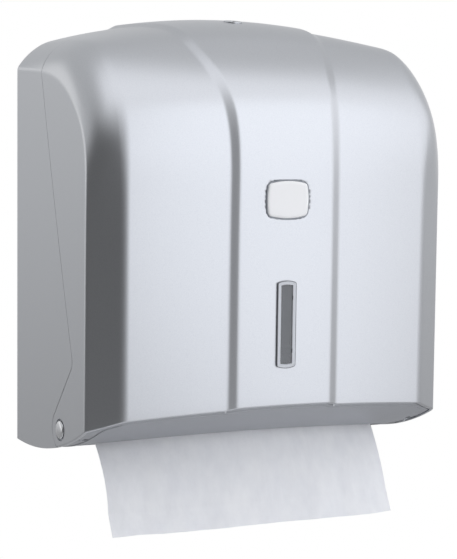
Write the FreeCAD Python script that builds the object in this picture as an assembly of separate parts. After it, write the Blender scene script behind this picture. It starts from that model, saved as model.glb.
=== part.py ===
import FreeCAD, Part
import math
import os
from FreeCAD import Vector

# Wall dispenser for folded paper towels, in millimetres.
# X runs across the case, the front faces -Y, the wall is the plane Y = 0 and +Z is up.
# The origin is the centre of the four screw holes, on the wall face.
# The case is a moulded shell. A slanting joint line parts it into a rear housing, which is
# screwed to the wall, and a front cover, which swings forward and down on two low hinge pins.
# The cover's latch is at the top, and the towels leave through a mouth in the tray below.

# Clearances: between faces that bear on each other, between pieces that are fixed together,
# between pieces that slide, and round a screw's head and its thread
face_gap = 0.02
seat_gap = 0.1
slide_gap = 0.2
head_gap = 0.4
pilot_gap = 0.05

# How far a rib, boss or lip runs into the wall that it stands on, and how far cutters run out
bite = 0.5
far = 250.0

# Paper: a stack of folded towels, and the leaf that hangs through the throat
paper_half_width = 105.5
stack_back_y = -12.0
stack_front_y = -112.0
stack_bottom_z = -102.0
stack_gap = 0.3
leaf_thickness = 2.8
leaf_count = 10
leaf_fold_radius = 1.2
hang_thickness = 0.8
hang_top_z = stack_bottom_z - 0.5
hang_throat = (-88.0, -124.0)
hang_bow = 15.0
hang_bottom = (-105.5, -181.0)
hang_bottom_bow = 3.0
pull_slope = 0.527

# Paper guides
guide_gap = 1.0
guide_thickness = 2.0
guide_front_y = -60.0
guide_z = (-98.0, 40.0)
guide_foot = 12.0
guide_corner_radius = 12.0
guide_slot_z = (-60.0, 10.0)
guide_rib_step = 15.0

# Case shell
side_room = 12.5
half_width = paper_half_width + guide_gap + guide_foot + side_room
wall = 2.5
back_wall = 2.5
draft = 0.0105
form_bottom = -150.0

# Long curves of the outer form. Each climbs the front and bends over the top to the wall.
# depth is taken at height zero; shoulder and corner are heights on the front line;
# crown and ridge are (depth, height) handles of the bend; back is the height at the wall.
side_crease = {"depth": 115.0, "shoulder": 41.5, "corner": 83.9,
               "crown": (71.1, 118.6), "ridge": (34.2, 119.6), "back": 121.6}
front_crease = {"depth": 129.1, "shoulder": 54.2, "corner": 91.6,
                "crown": (94.1, 137.7), "ridge": (70.8, 140.7), "back": 139.3}
centre_line = {"depth": 137.0, "shoulder": 34.3, "corner": 104.7,
               "crown": (97.2, 135.0), "ridge": (75.0, 155.7), "back": 154.2}
chamfer_width = 20.8
front_crease_x = half_width - chamfer_width
chamfer_bulge = (0, 0, 0, 0, 7.9, 12.1, 6.7, 3.9)

# Raised centre band, which flares out over the top
band_half_width = 40.2
band_raise = 2.1
band_step_width = 6.2
band_flare = (0, 0, 0, 0, -0.9, 13.0, 16.5, 24.8)
band_step_top = 5.7

# Underside: one arc, lowest a little in front of the wall
underside_radius = 212.5
underside_low_y = -23.0
underside_low_z = -130.3
underside_reach = 165.0

# Joint line between housing and cover, in the side view as (y, z)
joint_gap = 0.7
joint_top = (-42.5, 118.0)
joint_middle = (-67.6, 24.0)
joint_nose = (-95.5, -68.5)
joint_nose_radius = 8.0
joint_end_angle = -80.0
tongue_gap = 0.4
tongue_wall = 2.0
tongue_reach = 5.0
tongue_root = 3.0

# Hinge
pivot_y = -75.1
pivot_z = -112.8
ear_radius = 12.7
ear_thickness = 4.0
ear_hub_radius = 11.0
head_radius = 5.2
head_height = 1.8
counterbore_radius = 6.8
counterbore_depth = 1.5
journal_radius = 4.0
journal_gap = 0.05
shank_radius = 3.0
lug_radius = 10.5
lug_thickness = 3.2
lug_side_gap = 0.3
lug_back_y = -50.0
lug_web = 8.0
lug_arm_y = -97.0
lug_arm_z = -104.5
clip_radius = 5.5
clip_thickness = 0.8
clip_groove_depth = 0.8
clip_mouth = 1.8
clip_eye_radius = 1.2
clip_eye_offset = (1.0, 1.5)
pin_tip = 1.6

# Wall fixing
wall_hole_x = 90.0
wall_hole_z = 80.0
wall_hole_radius = 2.75
wall_pad_radius = 8.0
wall_pad_height = 3.0

# Back plate ribs and top gussets
rib_thickness = 2.0
back_rib_depth = 5.5
back_rib_pitch = 30.0
back_rib_count = 5
back_rib_z = 98.0
gusset_x = 62.0
gusset_size = 26.0

# Screws, all of one size
screw_radius = 1.5
screw_head_radius = 2.75
screw_head_height = 1.8
screw_head_round = 0.6
screw_bite = 3.5
screw_end_wall = 1.0
boss_radius = 3.2
pad_radius = 4.0
pad_height = 3.5

# Outlet tray
tray_side_gap = 2.1
tray_half_width = half_width - wall - tray_side_gap
tray_wall_gap = 1.5
tray_thickness = 2.5
rim_lift = 2.5
panel_lift = 0.3
panel_side_rim = 7.4
panel_half_width = tray_half_width - panel_side_rim
panel_back_y = -8.0
panel_front_rim = 1.0
panel_corner_radius = 10.0
tray_screw_edge = 4.2
tray_screw_x = tray_half_width - tray_screw_edge
tray_screw_y = (-14.0, -93.0)
tray_screw_sink = 1.0
tray_boss_height = 9.0
tray_rib_margin = 4.0

# Throat in the tray
throat_side_room = 10.5
throat_half_width = paper_half_width + throat_side_room
throat_back_y = -52.0
throat_front_y = -91.0
throat_front_radius = 400.0
throat_corner_radius = 5.0
lip_thickness = 2.0
lip_height = 5.0

# Latch
latch_y = -61.0
latch_screw_x = 14.0
latch_z = 118.0
latch_flange = (20.0, 14.0)
latch_flange_corner = 3.0
latch_arm_half_width = 10.0
latch_arm_z = (112.0, 126.0)
latch_wall = 2.3
slide_half_width = 9.0
slide_half_depth = 5.8
slide_z = (120.0, 145.5)
slide_nose_angle = 35.0
slide_travel = 4.0
slide_tab_reach = 1.9
slide_tab_half_depth = 2.0
slide_tab_z = (122.0, 128.8)
slide_dimple = 1.5
pocket_floor_z = 107.0
pocket_top_z = 136.0
spring_radius = 4.0
spring_wire = 0.8
spring_turns = 5
spigot_radius = 2.8
spigot_height = 2.0
catch_half_width = 7.0
catch_thickness = 2.5
catch_front = 4.8
catch_drop_z = 142.5
catch_gusset = (1.5, 8.0)
catch_flange_half_width = 12.0
catch_flange_thickness = 2.0
catch_back_y = -48.2
stake_radius = 1.5
stake_head_radius = 2.4
stake_head_height = 1.0
stake_x = 9.6
stake_y = -51.0

# Key bush in the top of the cover
bush_flange_radius = 6.25
bush_flange_height = 0.6
bush_radius = 4.5
bush_hole_radius = 2.0
bush_end_z = 147.5
bush_barb_reach = 0.7
bush_barb_half_depth = 1.2
bush_barb_height = 1.2

# Window in the front, with arched ends
window_z = (-71.9, -15.0)
window_half_width = 6.85
window_arch = 3.0
window_proud = 1.2
window_bevel = 0.7
window_lap = 1.5
window_depth = 5.0
window_thickness = 1.8
window_frame = 1.6
hook_z = 19.0
hook_half_length = 2.0
hook_reach = 1.0

# Badge on the front, left bare
badge_centre_z = 38.7
badge_half_width = 16.0
badge_half_height = 12.75
badge_bow = 1.6
badge_corner_radius = 4.0
badge_recess = 0.9
badge_proud = 0.5
dome_height = 0.7
dome_margin = 1.3
dome_step = 1.2

# Ribs inside the cover
cover_rib_x = 70.0
cover_rib_depth = 16.0
cover_rib_y = cover_rib_depth - centre_line["depth"]
cover_rib_z = (-70.0, 40.0)


def miter(angle_1, angle_2):
    """Shift of a corner, as (sideways, inwards), for a wall of one millimetre on both its faces."""
    middle = (angle_1 + angle_2) / 2
    stretch = 1 / math.cos((angle_1 - angle_2) / 2)
    return math.sin(middle) * stretch, math.cos(middle) * stretch


def long_path(curve, inset):
    """Poles of a long curve as (y, z), moved inwards from the outer form by the inset."""
    foot = [form_bottom + (curve["shoulder"] - form_bottom) * step / 3 for step in range(4)]
    points = [(-curve["depth"] - draft * z, z) for z in foot + [curve["corner"]]]
    points += [(-curve["crown"][0], curve["crown"][1]), (-curve["ridge"][0], curve["ridge"][1])]
    points += [(0.0, curve["back"])]
    legs = []
    for (y_1, z_1), (y_2, z_2) in zip(points, points[1:]):
        length = math.hypot(y_2 - y_1, z_2 - z_1)
        legs.append(((z_2 - z_1) / length, (y_1 - y_2) / length))
    moved = []
    for index, (y, z) in enumerate(points):
        before = legs[max(index - 1, 0)]
        after = legs[min(index, len(legs) - 1)]
        share = 1 + before[0] * after[0] + before[1] * after[1]
        moved.append((y + inset * (before[0] + after[0]) / share,
                      z + inset * (before[1] + after[1]) / share))
    moved[0] = (moved[0][0], form_bottom)
    moved[-1] = (0.0, moved[-1][1])
    return moved


def bulged(row_1, row_2):
    """Middle row of poles between two rows, pushed out square to both directions."""
    middle = [(pole_1 + pole_2) / 2 for pole_1, pole_2 in zip(row_1, row_2)]
    row = []
    for index, pole in enumerate(middle):
        if index == len(middle) - 1:
            along = Vector(0, 1, 0)
        else:
            along = middle[index + 1] - middle[max(index - 1, 0)]
        outward = (row_1[index] - row_2[index]).cross(along).normalize()
        row.append(pole + outward * chamfer_bulge[index])
    return row


def pole_rows(inset):
    """Rows of surface poles from the side crease to the middle of the band."""
    chamfer = math.atan2(front_crease["depth"] - side_crease["depth"], half_width - front_crease_x)
    bow = math.atan2(2 * (centre_line["depth"] - front_crease["depth"]), front_crease_x)
    side_shift = miter(math.pi / 2, chamfer)
    front_shift = miter(chamfer, bow)
    side_x = half_width - inset * side_shift[0]
    front_x = front_crease_x - inset * front_shift[0]
    side = long_path(side_crease, inset * side_shift[1])
    front = long_path(front_crease, inset * front_shift[1])
    centre = long_path(centre_line, inset)
    band = long_path(centre_line, inset - band_raise)
    rows = {name: [] for name in ("side", "chamfer", "front", "face", "outer", "inner", "band")}
    for index in range(len(side)):
        outer_x = band_half_width + band_flare[index]
        narrow = max(index - 4, 0) / 3 * (band_step_width - band_step_top)
        inner_x = outer_x - band_step_width + narrow
        drop_y = front[index][0] - centre[index][0]
        drop_z = front[index][1] - centre[index][1]
        outer_share = (outer_x / front_x) ** 2
        face_share = outer_x / front_x
        inner_share = (inner_x / front_x) ** 2
        rows["side"].append(Vector(side_x, *side[index]))
        rows["front"].append(Vector(front_x, *front[index]))
        rows["outer"].append(Vector(outer_x, centre[index][0] + drop_y * outer_share,
                                    centre[index][1] + drop_z * outer_share))
        rows["face"].append(Vector((outer_x + front_x) / 2, centre[index][0] + drop_y * face_share,
                                   centre[index][1] + drop_z * face_share))
        rows["inner"].append(Vector(inner_x, band[index][0] + drop_y * inner_share,
                                    band[index][1] + drop_z * inner_share))
        rows["band"].append(Vector(0, band[index][0] - drop_y * inner_share,
                                   band[index][1] - drop_z * inner_share))
    rows["chamfer"] = bulged(rows["side"], rows["front"])
    return rows


def mirrored(row):
    """The same poles on the other side of the middle."""
    return [Vector(-pole.x, pole.y, pole.z) for pole in row]


def long_mults(count):
    """Knot multiplicities of a clamped cubic curve."""
    return [4] + [1] * (count - 4) + [4]


def strip(rows):
    """Surface across two or three rows of poles, straight or bowed across, smooth along."""
    count = len(rows[0])
    surface = Part.BSplineSurface()
    mults = long_mults(count)
    across = len(rows)
    surface.buildFromPolesMultsKnots(rows, [across, across], mults, [0, 1], list(range(len(mults))),
                                     False, False, across - 1, 3)
    return surface.toShape()


def long_edge(row):
    """Edge along one row of poles."""
    curve = Part.BSplineCurve()
    mults = long_mults(len(row))
    curve.buildFromPolesMultsKnots(row, mults, list(range(len(mults))), False, 3)
    return curve.toShape()


def cross_edge(poles):
    """Edge across the form, at the foot or at the wall."""
    if len(poles) == 2:
        return Part.makeLine(*poles)
    curve = Part.BSplineCurve()
    curve.buildFromPolesMultsKnots(poles, [3, 3], [0, 1], False, 2)
    return curve.toShape()


def form(inset):
    """Closed solid of the case's outer form, moved inwards by the inset."""
    rows = pole_rows(inset)
    left = {name: mirrored(row) for name, row in rows.items()}
    bands = [
        [rows["side"], rows["chamfer"], rows["front"]],
        [rows["front"], rows["face"], rows["outer"]],
        [rows["outer"], rows["inner"]],
        [rows["inner"], rows["band"], left["inner"]],
        [left["inner"], left["outer"]],
        [left["outer"], left["face"], left["front"]],
        [left["front"], left["chamfer"], left["side"]],
    ]
    faces = [strip(band) for band in bands]
    corners = {}
    for key, row in (("right", rows["side"]), ("left", left["side"])):
        low = Vector(row[0].x, 0, form_bottom)
        corners[key] = low
        outline = [long_edge(row), Part.makeLine(row[-1], low), Part.makeLine(low, row[0])]
        faces.append(Part.Face(Part.Wire(outline)))
    for end in (0, -1):
        outline = [cross_edge([row[end] for row in band]) for band in bands]
        if end == 0:
            outline += [Part.makeLine(left["side"][0], corners["left"]),
                        Part.makeLine(corners["left"], corners["right"]),
                        Part.makeLine(corners["right"], rows["side"][0])]
        else:
            outline += [Part.makeLine(left["side"][-1], corners["left"]),
                        Part.makeLine(corners["left"], corners["right"]),
                        Part.makeLine(corners["right"], rows["side"][-1])]
        faces.append(Part.Face(Part.Wire(outline)))
    shell = Part.makeShell(faces)
    shell.sewShape()
    solid = Part.makeSolid(shell)
    if solid.Volume < 0:
        solid.reverse()
    return solid


def layer(outer_inset, inner_inset):
    """Skin of the form between two insets."""
    return form(outer_inset).cut(form(inner_inset))


def block(x_1, x_2, y_1, y_2, z_1, z_2):
    """Box between two corners."""
    return Part.makeBox(x_2 - x_1, y_2 - y_1, z_2 - z_1, Vector(x_1, y_1, z_1))


def rod(radius, x_1, x_2, y=pivot_y, z=pivot_z):
    """Cylinder along X."""
    return Part.makeCylinder(radius, x_2 - x_1, Vector(x_1, y, z), Vector(1, 0, 0))


def stud(radius, x, z, y_1, y_2):
    """Cylinder along Y."""
    return Part.makeCylinder(radius, y_2 - y_1, Vector(x, y_1, z), Vector(0, 1, 0))


def post(radius, x, y, z_1, z_2):
    """Cylinder along Z."""
    return Part.makeCylinder(radius, z_2 - z_1, Vector(x, y, z_1))


def side_prism(face, x_1=-far, x_2=far):
    """Prism along X of a face drawn in the plane X = 0."""
    moved = face.copy()
    moved.translate(Vector(x_1, 0, 0))
    return moved.extrude(Vector(x_2 - x_1, 0, 0))


def plan_prism(face, z_1=-far, z_2=0.0):
    """Prism along Z of a flat face."""
    moved = face.copy()
    moved.translate(Vector(0, 0, z_1 - face.BoundBox.ZMin))
    return moved.extrude(Vector(0, 0, z_2 - z_1))


def rounded(face, radius):
    """Flat face with its outward corners rounded."""
    return face.makeOffset2D(-radius).makeOffset2D(radius)


def polygon(points):
    """Flat face with straight sides."""
    return Part.Face(Part.makePolygon(points + points[:1]))


def flipped(shape):
    """The same piece on the other side of the middle."""
    return shape.mirror(Vector(0, 0, 0), Vector(1, 0, 0))


def on_both_sides(shape):
    """A shape and its mirror image, as one."""
    return shape.fuse(flipped(shape))


def underside_height(y):
    """Height of the underside arc at a depth."""
    centre_z = underside_low_z + underside_radius
    return centre_z - math.sqrt(underside_radius ** 2 - (y - underside_low_y) ** 2)


def above_underside(lift):
    """All the space above the underside arc, raised square to itself by the lift."""
    centre_z = underside_low_z + underside_radius
    radius = underside_radius - lift

    def arc_point(y):
        return Vector(0, y, centre_z - math.sqrt(radius ** 2 - (y - underside_low_y) ** 2))

    front = arc_point(underside_low_y - underside_reach)
    back = arc_point(underside_low_y + underside_reach)
    high_front = Vector(0, front.y, far)
    high_back = Vector(0, back.y, far)
    edges = [Part.Arc(front, arc_point(underside_low_y), back).toShape(),
             Part.makeLine(back, high_back),
             Part.makeLine(high_back, high_front),
             Part.makeLine(high_front, front)]
    return side_prism(Part.Face(Part.Wire(edges)))


def housing_side():
    """Side view of all that lies behind the joint line, with the nose rounded."""
    pivot = Vector(0, pivot_y, pivot_z)
    reach = ear_radius + joint_gap

    def around(angle):
        return pivot + Vector(0, math.cos(angle), math.sin(angle)) * reach

    nose = Vector(0, *joint_nose)
    bend = Vector(0, *joint_top)
    arm = nose - pivot
    foot_angle = math.atan2(arm.z, arm.y) - math.acos(reach / arm.Length)
    end_angle = math.radians(joint_end_angle)
    foot = around(foot_angle)
    end = around(end_angle)
    corners = [Vector(0, end.y, -far), Vector(0, far, -far), Vector(0, far, far),
               Vector(0, bend.y, far)]
    edges = [Part.makeLine(corners[3], bend),
             Part.Arc(bend, Vector(0, *joint_middle), nose).toShape(),
             Part.makeLine(nose, foot),
             Part.Arc(foot, around((foot_angle + end_angle) / 2), end).toShape(),
             Part.makeLine(end, corners[0])]
    edges += [Part.makeLine(start, stop) for start, stop in zip(corners, corners[1:])]
    return rounded(Part.Face(Part.Wire(edges)), joint_nose_radius)


def screw(seat, axis):
    """Pan head screw: the head stands on the seat, the shank goes along the axis."""
    head = Part.makeCylinder(screw_head_radius, screw_head_height, seat, axis * -1)
    rim = [edge for edge in head.Edges if abs((edge.CenterOfMass - seat).dot(axis)) > seat_gap
           and edge.Curve.TypeId == "Part::GeomCircle"]
    head = head.makeFillet(screw_head_round, rim)
    shank = Part.makeCylinder(screw_radius, screw_length, seat, axis)
    return head.fuse(shank)


def rear_housing():
    """Back plate, rear part of the shell, tongue behind the cover, hinge lugs and bosses."""
    solid = case_shell.common(side_prism(joint)).common(above_underside(0))
    ear_room = rod(ear_radius + joint_gap + tongue_root, -far, far)
    near_joint = side_prism(joint.makeOffset2D(tongue_reach))
    near_joint = near_joint.cut(side_prism(joint.makeOffset2D(-tongue_root))).cut(ear_room)
    tongue = layer(wall + tongue_gap, wall + tongue_gap + tongue_wall).common(near_joint)
    root = layer(wall - tongue_gap, wall + tongue_gap + tongue_wall).common(near_joint)
    root = root.common(side_prism(joint))
    solid = solid.fuse([tongue.common(above_underside(0)), root.common(above_underside(0))])
    inner_face = -back_wall + bite
    solid = solid.fuse([block(x - rib_thickness / 2, x + rib_thickness / 2, -back_wall - back_rib_depth,
                              inner_face, -back_rib_z, back_rib_z) for x in back_rib_places()])
    top = centre_line["back"]
    gusset = side_prism(polygon([Vector(0, inner_face, top), Vector(0, inner_face, top - gusset_size - wall),
                                 Vector(0, -back_wall - gusset_size - wall, top)]),
                        gusset_x - rib_thickness / 2, gusset_x + rib_thickness / 2)
    solid = solid.fuse(on_both_sides(gusset.common(form(wall - bite))))
    for x in (-wall_hole_x, wall_hole_x):
        for z in (-wall_hole_z, wall_hole_z):
            solid = solid.fuse(stud(wall_pad_radius, x, z, -back_wall - wall_pad_height, inner_face))
            solid = solid.cut(stud(wall_hole_radius, x, z, -back_wall - wall_pad_height - bite, bite))
    pads = guide_screw_places() + latch_screw_places()
    for x, z in pads:
        solid = solid.fuse(stud(pad_radius, x, z, -back_wall - pad_height, inner_face))
    for x, z in pads:
        solid = solid.cut(stud(screw_radius + pilot_gap, x, z, back_seat() - bite, -screw_end_wall))
    return solid.fuse(on_both_sides(hinge_lug())).removeSplitter()


def back_rib_places():
    """Middles of the ribs on the back plate."""
    return [back_rib_pitch * (index - (back_rib_count - 1) / 2) for index in range(back_rib_count)]


def hinge_lug():
    """Lug on the right that holds the hinge pin and the two right tray screws."""
    outer = lug_outer_x()
    inner = outer - lug_thickness
    lug = rod(lug_radius, inner, outer)
    lug = lug.fuse([block(inner, outer, pivot_y, lug_back_y, pivot_z - lug_radius, pivot_z + lug_radius),
                    block(inner, outer, lug_arm_y, pivot_y, pivot_z - lug_radius, lug_arm_z),
                    block(inner, half_width - wall + bite, lug_back_y - lug_web, lug_back_y,
                          form_bottom, pivot_z + lug_radius)])
    for y in tray_screw_y:
        top = tray_pad_top(y) + tray_boss_height
        lug = lug.fuse(post(boss_radius, tray_screw_x, y, form_bottom, top))
        if y > lug_back_y:
            lug = lug.fuse(block(tray_screw_x, half_width - wall + bite, y - rib_thickness / 2,
                                 y + rib_thickness / 2, form_bottom, top))
    lug = lug.common(above_underside(rim_lift + tray_thickness + seat_gap))
    for y in tray_screw_y:
        lug = lug.cut(post(pad_radius + slide_gap, tray_screw_x, y, form_bottom,
                           tray_pad_top(y) + seat_gap))
        lug = lug.cut(post(screw_radius + pilot_gap, tray_screw_x, y, form_bottom,
                           tray_screw_seat(y) + screw_length + screw_end_wall))
    return lug.cut(rod(shank_radius + journal_gap, 0, far)).removeSplitter()


def lug_outer_x():
    """Outer face of the hinge lug."""
    return half_width - ear_thickness - lug_side_gap


def tray_screw_seat(y):
    """Height of a tray screw's head seat, a little above the rim's underside."""
    return underside_height(y) + rim_lift + tray_screw_sink


def tray_pad_top(y):
    """Height of the flat pad round a tray screw."""
    return tray_screw_seat(y) + tray_thickness


def hinge_pin():
    """Right hinge pin: domed head, journal in the cover's ear, shank in the lug, clip groove."""
    sink_x = half_width - counterbore_depth + seat_gap
    ear_inner_x = half_width - ear_thickness
    clip_x = lug_outer_x() - lug_thickness - seat_gap
    dome_radius = (head_radius ** 2 + head_height ** 2) / (2 * head_height)
    dome = Part.makeSphere(dome_radius, Vector(half_width + head_height - dome_radius, pivot_y, pivot_z))
    head = rod(head_radius, sink_x, half_width + head_height).common(
        dome.fuse(rod(head_radius + 1, sink_x - 1, half_width)))
    journal = rod(journal_radius, ear_inner_x - lug_side_gap + seat_gap, sink_x)
    shank = rod(shank_radius, clip_x - clip_thickness - pin_tip, sink_x)
    groove = rod(shank_radius + 1, clip_x - clip_thickness, clip_x)
    groove = groove.cut(rod(shank_radius - clip_groove_depth, 0, far))
    return head.fuse([journal, shank]).cut(groove).removeSplitter()


def pin_clip():
    """Open spring clip in the groove of the right hinge pin."""
    clip_x = lug_outer_x() - lug_thickness - seat_gap
    start = clip_x - clip_thickness + journal_gap
    stop = clip_x - journal_gap
    bore = shank_radius - clip_groove_depth + journal_gap
    clip = rod(clip_radius, start, stop).cut(rod(bore, 0, far))
    mouth = block(0, far, pivot_y - clip_mouth, pivot_y + clip_mouth, -far, pivot_z)
    clip = clip.cut(mouth)
    eye_y, eye_z = clip_eye_offset
    for sign in (-1, 1):
        clip = clip.cut(rod(clip_eye_radius, 0, far, pivot_y + sign * (bore + eye_y), pivot_z + eye_z))
    return clip


def front_cover():
    """Front shell with hinge ears, latch stakes, ribs, and openings for lens, badge and bush."""
    ahead = side_prism(joint.makeOffset2D(joint_gap))
    solid = case_shell.cut(ahead).common(above_underside(0))
    inner_x = half_width - ear_thickness
    ear = rod(ear_hub_radius, inner_x, half_width - wall + bite)
    solid = solid.fuse(on_both_sides(ear.common(above_underside(0))))
    rib = block(cover_rib_x - rib_thickness / 2, cover_rib_x + rib_thickness / 2, -far, cover_rib_y,
                *cover_rib_z)
    solid = solid.fuse(on_both_sides(rib.common(form(wall - bite))))
    solid = solid.fuse(catch_stakes())
    solid = solid.cut(on_both_sides(rod(journal_radius + journal_gap, 0, far)))
    solid = solid.cut(on_both_sides(rod(counterbore_radius, half_width - counterbore_depth, far)))
    solid = solid.cut(window_column(-window_lap + slide_gap))
    solid = solid.cut(badge_column(slide_gap).common(layer(-wall, badge_recess)))
    solid = solid.cut(upright(bush_radius + slide_gap, 0, latch_y))
    return solid.removeSplitter()


def upright(radius, x, y):
    """Cylinder along Z from inside the case out through its top."""
    return post(radius, x, y, pocket_top_z, far)


def catch_stakes():
    """Two studs under the cover's top, headed over below the catch's flange."""
    low = wall + seat_gap + catch_flange_thickness + seat_gap
    shapes = []
    for x in (-stake_x, stake_x):
        shapes.append(upright(stake_radius, x, stake_y).common(layer(wall - bite, low + seat_gap)))
        shapes.append(upright(stake_head_radius, x, stake_y).common(layer(low, low + stake_head_height)))
    return shapes


def cover_catch():
    """Catch under the cover's top: a flange on two stakes and a plate that hangs from it."""
    top = wall + seat_gap
    front_y = latch_y + catch_front
    flange = block(-catch_flange_half_width, catch_flange_half_width, front_y, catch_back_y,
                   pocket_top_z, far)
    flange = flange.common(layer(top, top + catch_flange_thickness))
    plate = block(-catch_half_width, catch_half_width, front_y, front_y + catch_thickness,
                  catch_drop_z, far).common(form(top))
    front_rise, back_rise = catch_gusset
    gussets = []
    for x in (-catch_half_width + rib_thickness / 2, 0, catch_half_width - rib_thickness / 2):
        outline = polygon([Vector(0, front_y + catch_thickness - bite, catch_drop_z + front_rise),
                           Vector(0, catch_back_y, catch_drop_z + back_rise),
                           Vector(0, catch_back_y, far), Vector(0, front_y, far)])
        gussets.append(side_prism(outline, x - rib_thickness / 2, x + rib_thickness / 2).common(form(top)))
    solid = flange.fuse([plate] + gussets)
    for x in (-stake_x, stake_x):
        solid = solid.cut(upright(stake_radius + seat_gap, x, stake_y))
    return solid.removeSplitter()


def arched_outline(grow):
    """Upright outline of the window, with arched ends, grown by a margin, at Y = 0."""
    side = window_half_width + grow
    low = window_z[0] - grow
    high = window_z[1] + grow
    corners = [Vector(-side, 0, low + window_arch), Vector(side, 0, low + window_arch),
               Vector(side, 0, high - window_arch), Vector(-side, 0, high - window_arch)]
    return Part.Wire([Part.Arc(corners[0], Vector(0, 0, low), corners[1]).toShape(),
                      Part.makeLine(corners[1], corners[2]),
                      Part.Arc(corners[2], Vector(0, 0, high), corners[3]).toShape(),
                      Part.makeLine(corners[3], corners[0])])


def front_column(outline):
    """Prism from an upright outline, through the front wall."""
    moved = Part.Face(outline)
    moved.translate(Vector(0, cover_rib_y, 0))
    return moved.extrude(Vector(0, -cover_rib_depth * 2, 0))


def window_column(grow):
    """Prism of the window's outline through the front wall."""
    return front_column(arched_outline(grow))


def window_lens():
    """Clear level window: a bevelled flange outside, a body through the wall, four snap hooks."""
    face_y = -centre_line["depth"] - band_raise
    wires = []
    stations = ((wall, 0), (window_bevel - window_proud, 0), (-window_proud - bite, window_bevel + bite))
    for shift, shrink in stations:
        wire = arched_outline(-shrink)
        wire.translate(Vector(0, face_y + shift, 0))
        wires.append(wire)
    frame = Part.makeLoft(wires, True, True)
    flange = frame.common(layer(-window_proud, 0))
    body = window_column(-window_lap).common(layer(-bite, window_depth))
    pocket = window_column(-window_lap - window_frame)
    body = body.cut(pocket.common(layer(window_thickness - window_proud, window_depth + bite)))
    middle = (window_z[0] + window_z[1]) / 2
    side = window_half_width - window_lap
    hooks = []
    for z in (middle - hook_z, middle + hook_z):
        hook = block(side - bite, side + hook_reach, -far, cover_rib_y, z - hook_half_length,
                     z + hook_half_length)
        hooks.append(on_both_sides(hook).common(layer(wall + slide_gap, window_depth)))
    return flange.fuse([body] + hooks).removeSplitter()


def badge_outline(grow):
    """Upright outline of the badge, with bowed sides and rounded corners, grown by a margin."""
    wide = badge_half_width + grow
    high = badge_half_height + grow
    low_z = badge_centre_z - high
    high_z = badge_centre_z + high
    inset_x = wide - badge_bow
    inset_z = high - badge_bow
    corners = [Vector(-inset_x, 0, badge_centre_z - inset_z), Vector(inset_x, 0, badge_centre_z - inset_z),
               Vector(inset_x, 0, badge_centre_z + inset_z), Vector(-inset_x, 0, badge_centre_z + inset_z)]
    middles = [Vector(0, 0, low_z), Vector(wide, 0, badge_centre_z), Vector(0, 0, high_z),
               Vector(-wide, 0, badge_centre_z)]
    edges = [Part.Arc(corners[index], middles[index], corners[(index + 1) % 4]).toShape()
             for index in range(4)]
    return rounded(Part.Face(Part.Wire(edges)), badge_corner_radius + grow).OuterWire


def badge_column(grow):
    """Prism of the badge's outline through the front wall."""
    return front_column(badge_outline(grow))


def badge_plate():
    """Plate of the badge, let into the front with a raised frame round a shallow dish."""
    plate = badge_column(0).common(layer(-badge_proud, badge_recess - seat_gap))
    return plate.cut(badge_column(-dome_margin).common(layer(-badge_proud - bite, 0)))


def badge_dome():
    """Clear dome in the badge's dish, lowest along its edge."""
    edge = -dome_margin - seat_gap
    foot = badge_column(edge).common(layer(-badge_proud, -seat_gap))
    top = badge_column(edge - dome_step).common(layer(-badge_proud - dome_height, -seat_gap))
    return foot.fuse(top).removeSplitter()


def key_bush():
    """Bush for the latch key: a thin flange on the cover's top and a tube with two barbs."""
    flange = upright(bush_flange_radius, 0, latch_y).common(layer(-bush_flange_height, -face_gap))
    tube = post(bush_radius, 0, latch_y, bush_end_z, far).common(form(-bush_flange_height / 2))
    reach = bush_radius + bush_barb_reach
    barbs = block(-reach, reach, latch_y - bush_barb_half_depth, latch_y + bush_barb_half_depth,
                  pocket_top_z, far)
    barbs = barbs.common(layer(wall + seat_gap, wall + seat_gap + bush_barb_height))
    hole = upright(bush_hole_radius, 0, latch_y)
    return flange.fuse([tube, barbs]).cut(hole).removeSplitter()


def crease_depth(row, z):
    """Depth of a row of poles at a height on its straight lower part."""
    share = (z - row[0].z) / (row[3].z - row[0].z)
    return row[0].y + share * (row[3].y - row[0].y)


def tray_outline(inset, half, back_y):
    """Plan outline inside the case walls, moved in by the inset: chamfered corners, bowed front."""
    height = underside_height(hang_bottom[0])
    rows = pole_rows(inset)
    side_x = rows["side"][0].x
    front_x = rows["front"][0].x
    side_y = crease_depth(rows["side"], height)
    front_y = crease_depth(rows["front"], height)
    corner_y = front_y + (side_y - front_y) * (half - front_x) / (side_x - front_x)
    middle = Vector(0, inset - centre_line["depth"] - draft * height, 0)
    right = [Vector(half, back_y, 0), Vector(half, corner_y, 0), Vector(front_x, front_y, 0)]
    left = [Vector(-point.x, point.y, 0) for point in reversed(right)]
    edges = [Part.makeLine(*right[:2]), Part.makeLine(*right[1:]),
             Part.Arc(right[2], middle, left[0]).toShape(),
             Part.makeLine(*left[:2]), Part.makeLine(*left[1:]), Part.makeLine(left[2], right[0])]
    return Part.Face(Part.Wire(edges))


def throat_face():
    """Plan outline of the throat: straight at the back, bowed at the front."""
    drop = throat_front_radius - math.sqrt(throat_front_radius ** 2 - throat_half_width ** 2)
    corners = [Vector(-throat_half_width, throat_back_y, 0), Vector(throat_half_width, throat_back_y, 0),
               Vector(throat_half_width, throat_front_y + drop, 0),
               Vector(-throat_half_width, throat_front_y + drop, 0)]
    edges = [Part.makeLine(corners[0], corners[1]), Part.makeLine(corners[1], corners[2]),
             Part.Arc(corners[2], Vector(0, throat_front_y, 0), corners[3]).toShape(),
             Part.makeLine(corners[3], corners[0])]
    return rounded(Part.Face(Part.Wire(edges)), throat_corner_radius)


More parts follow.
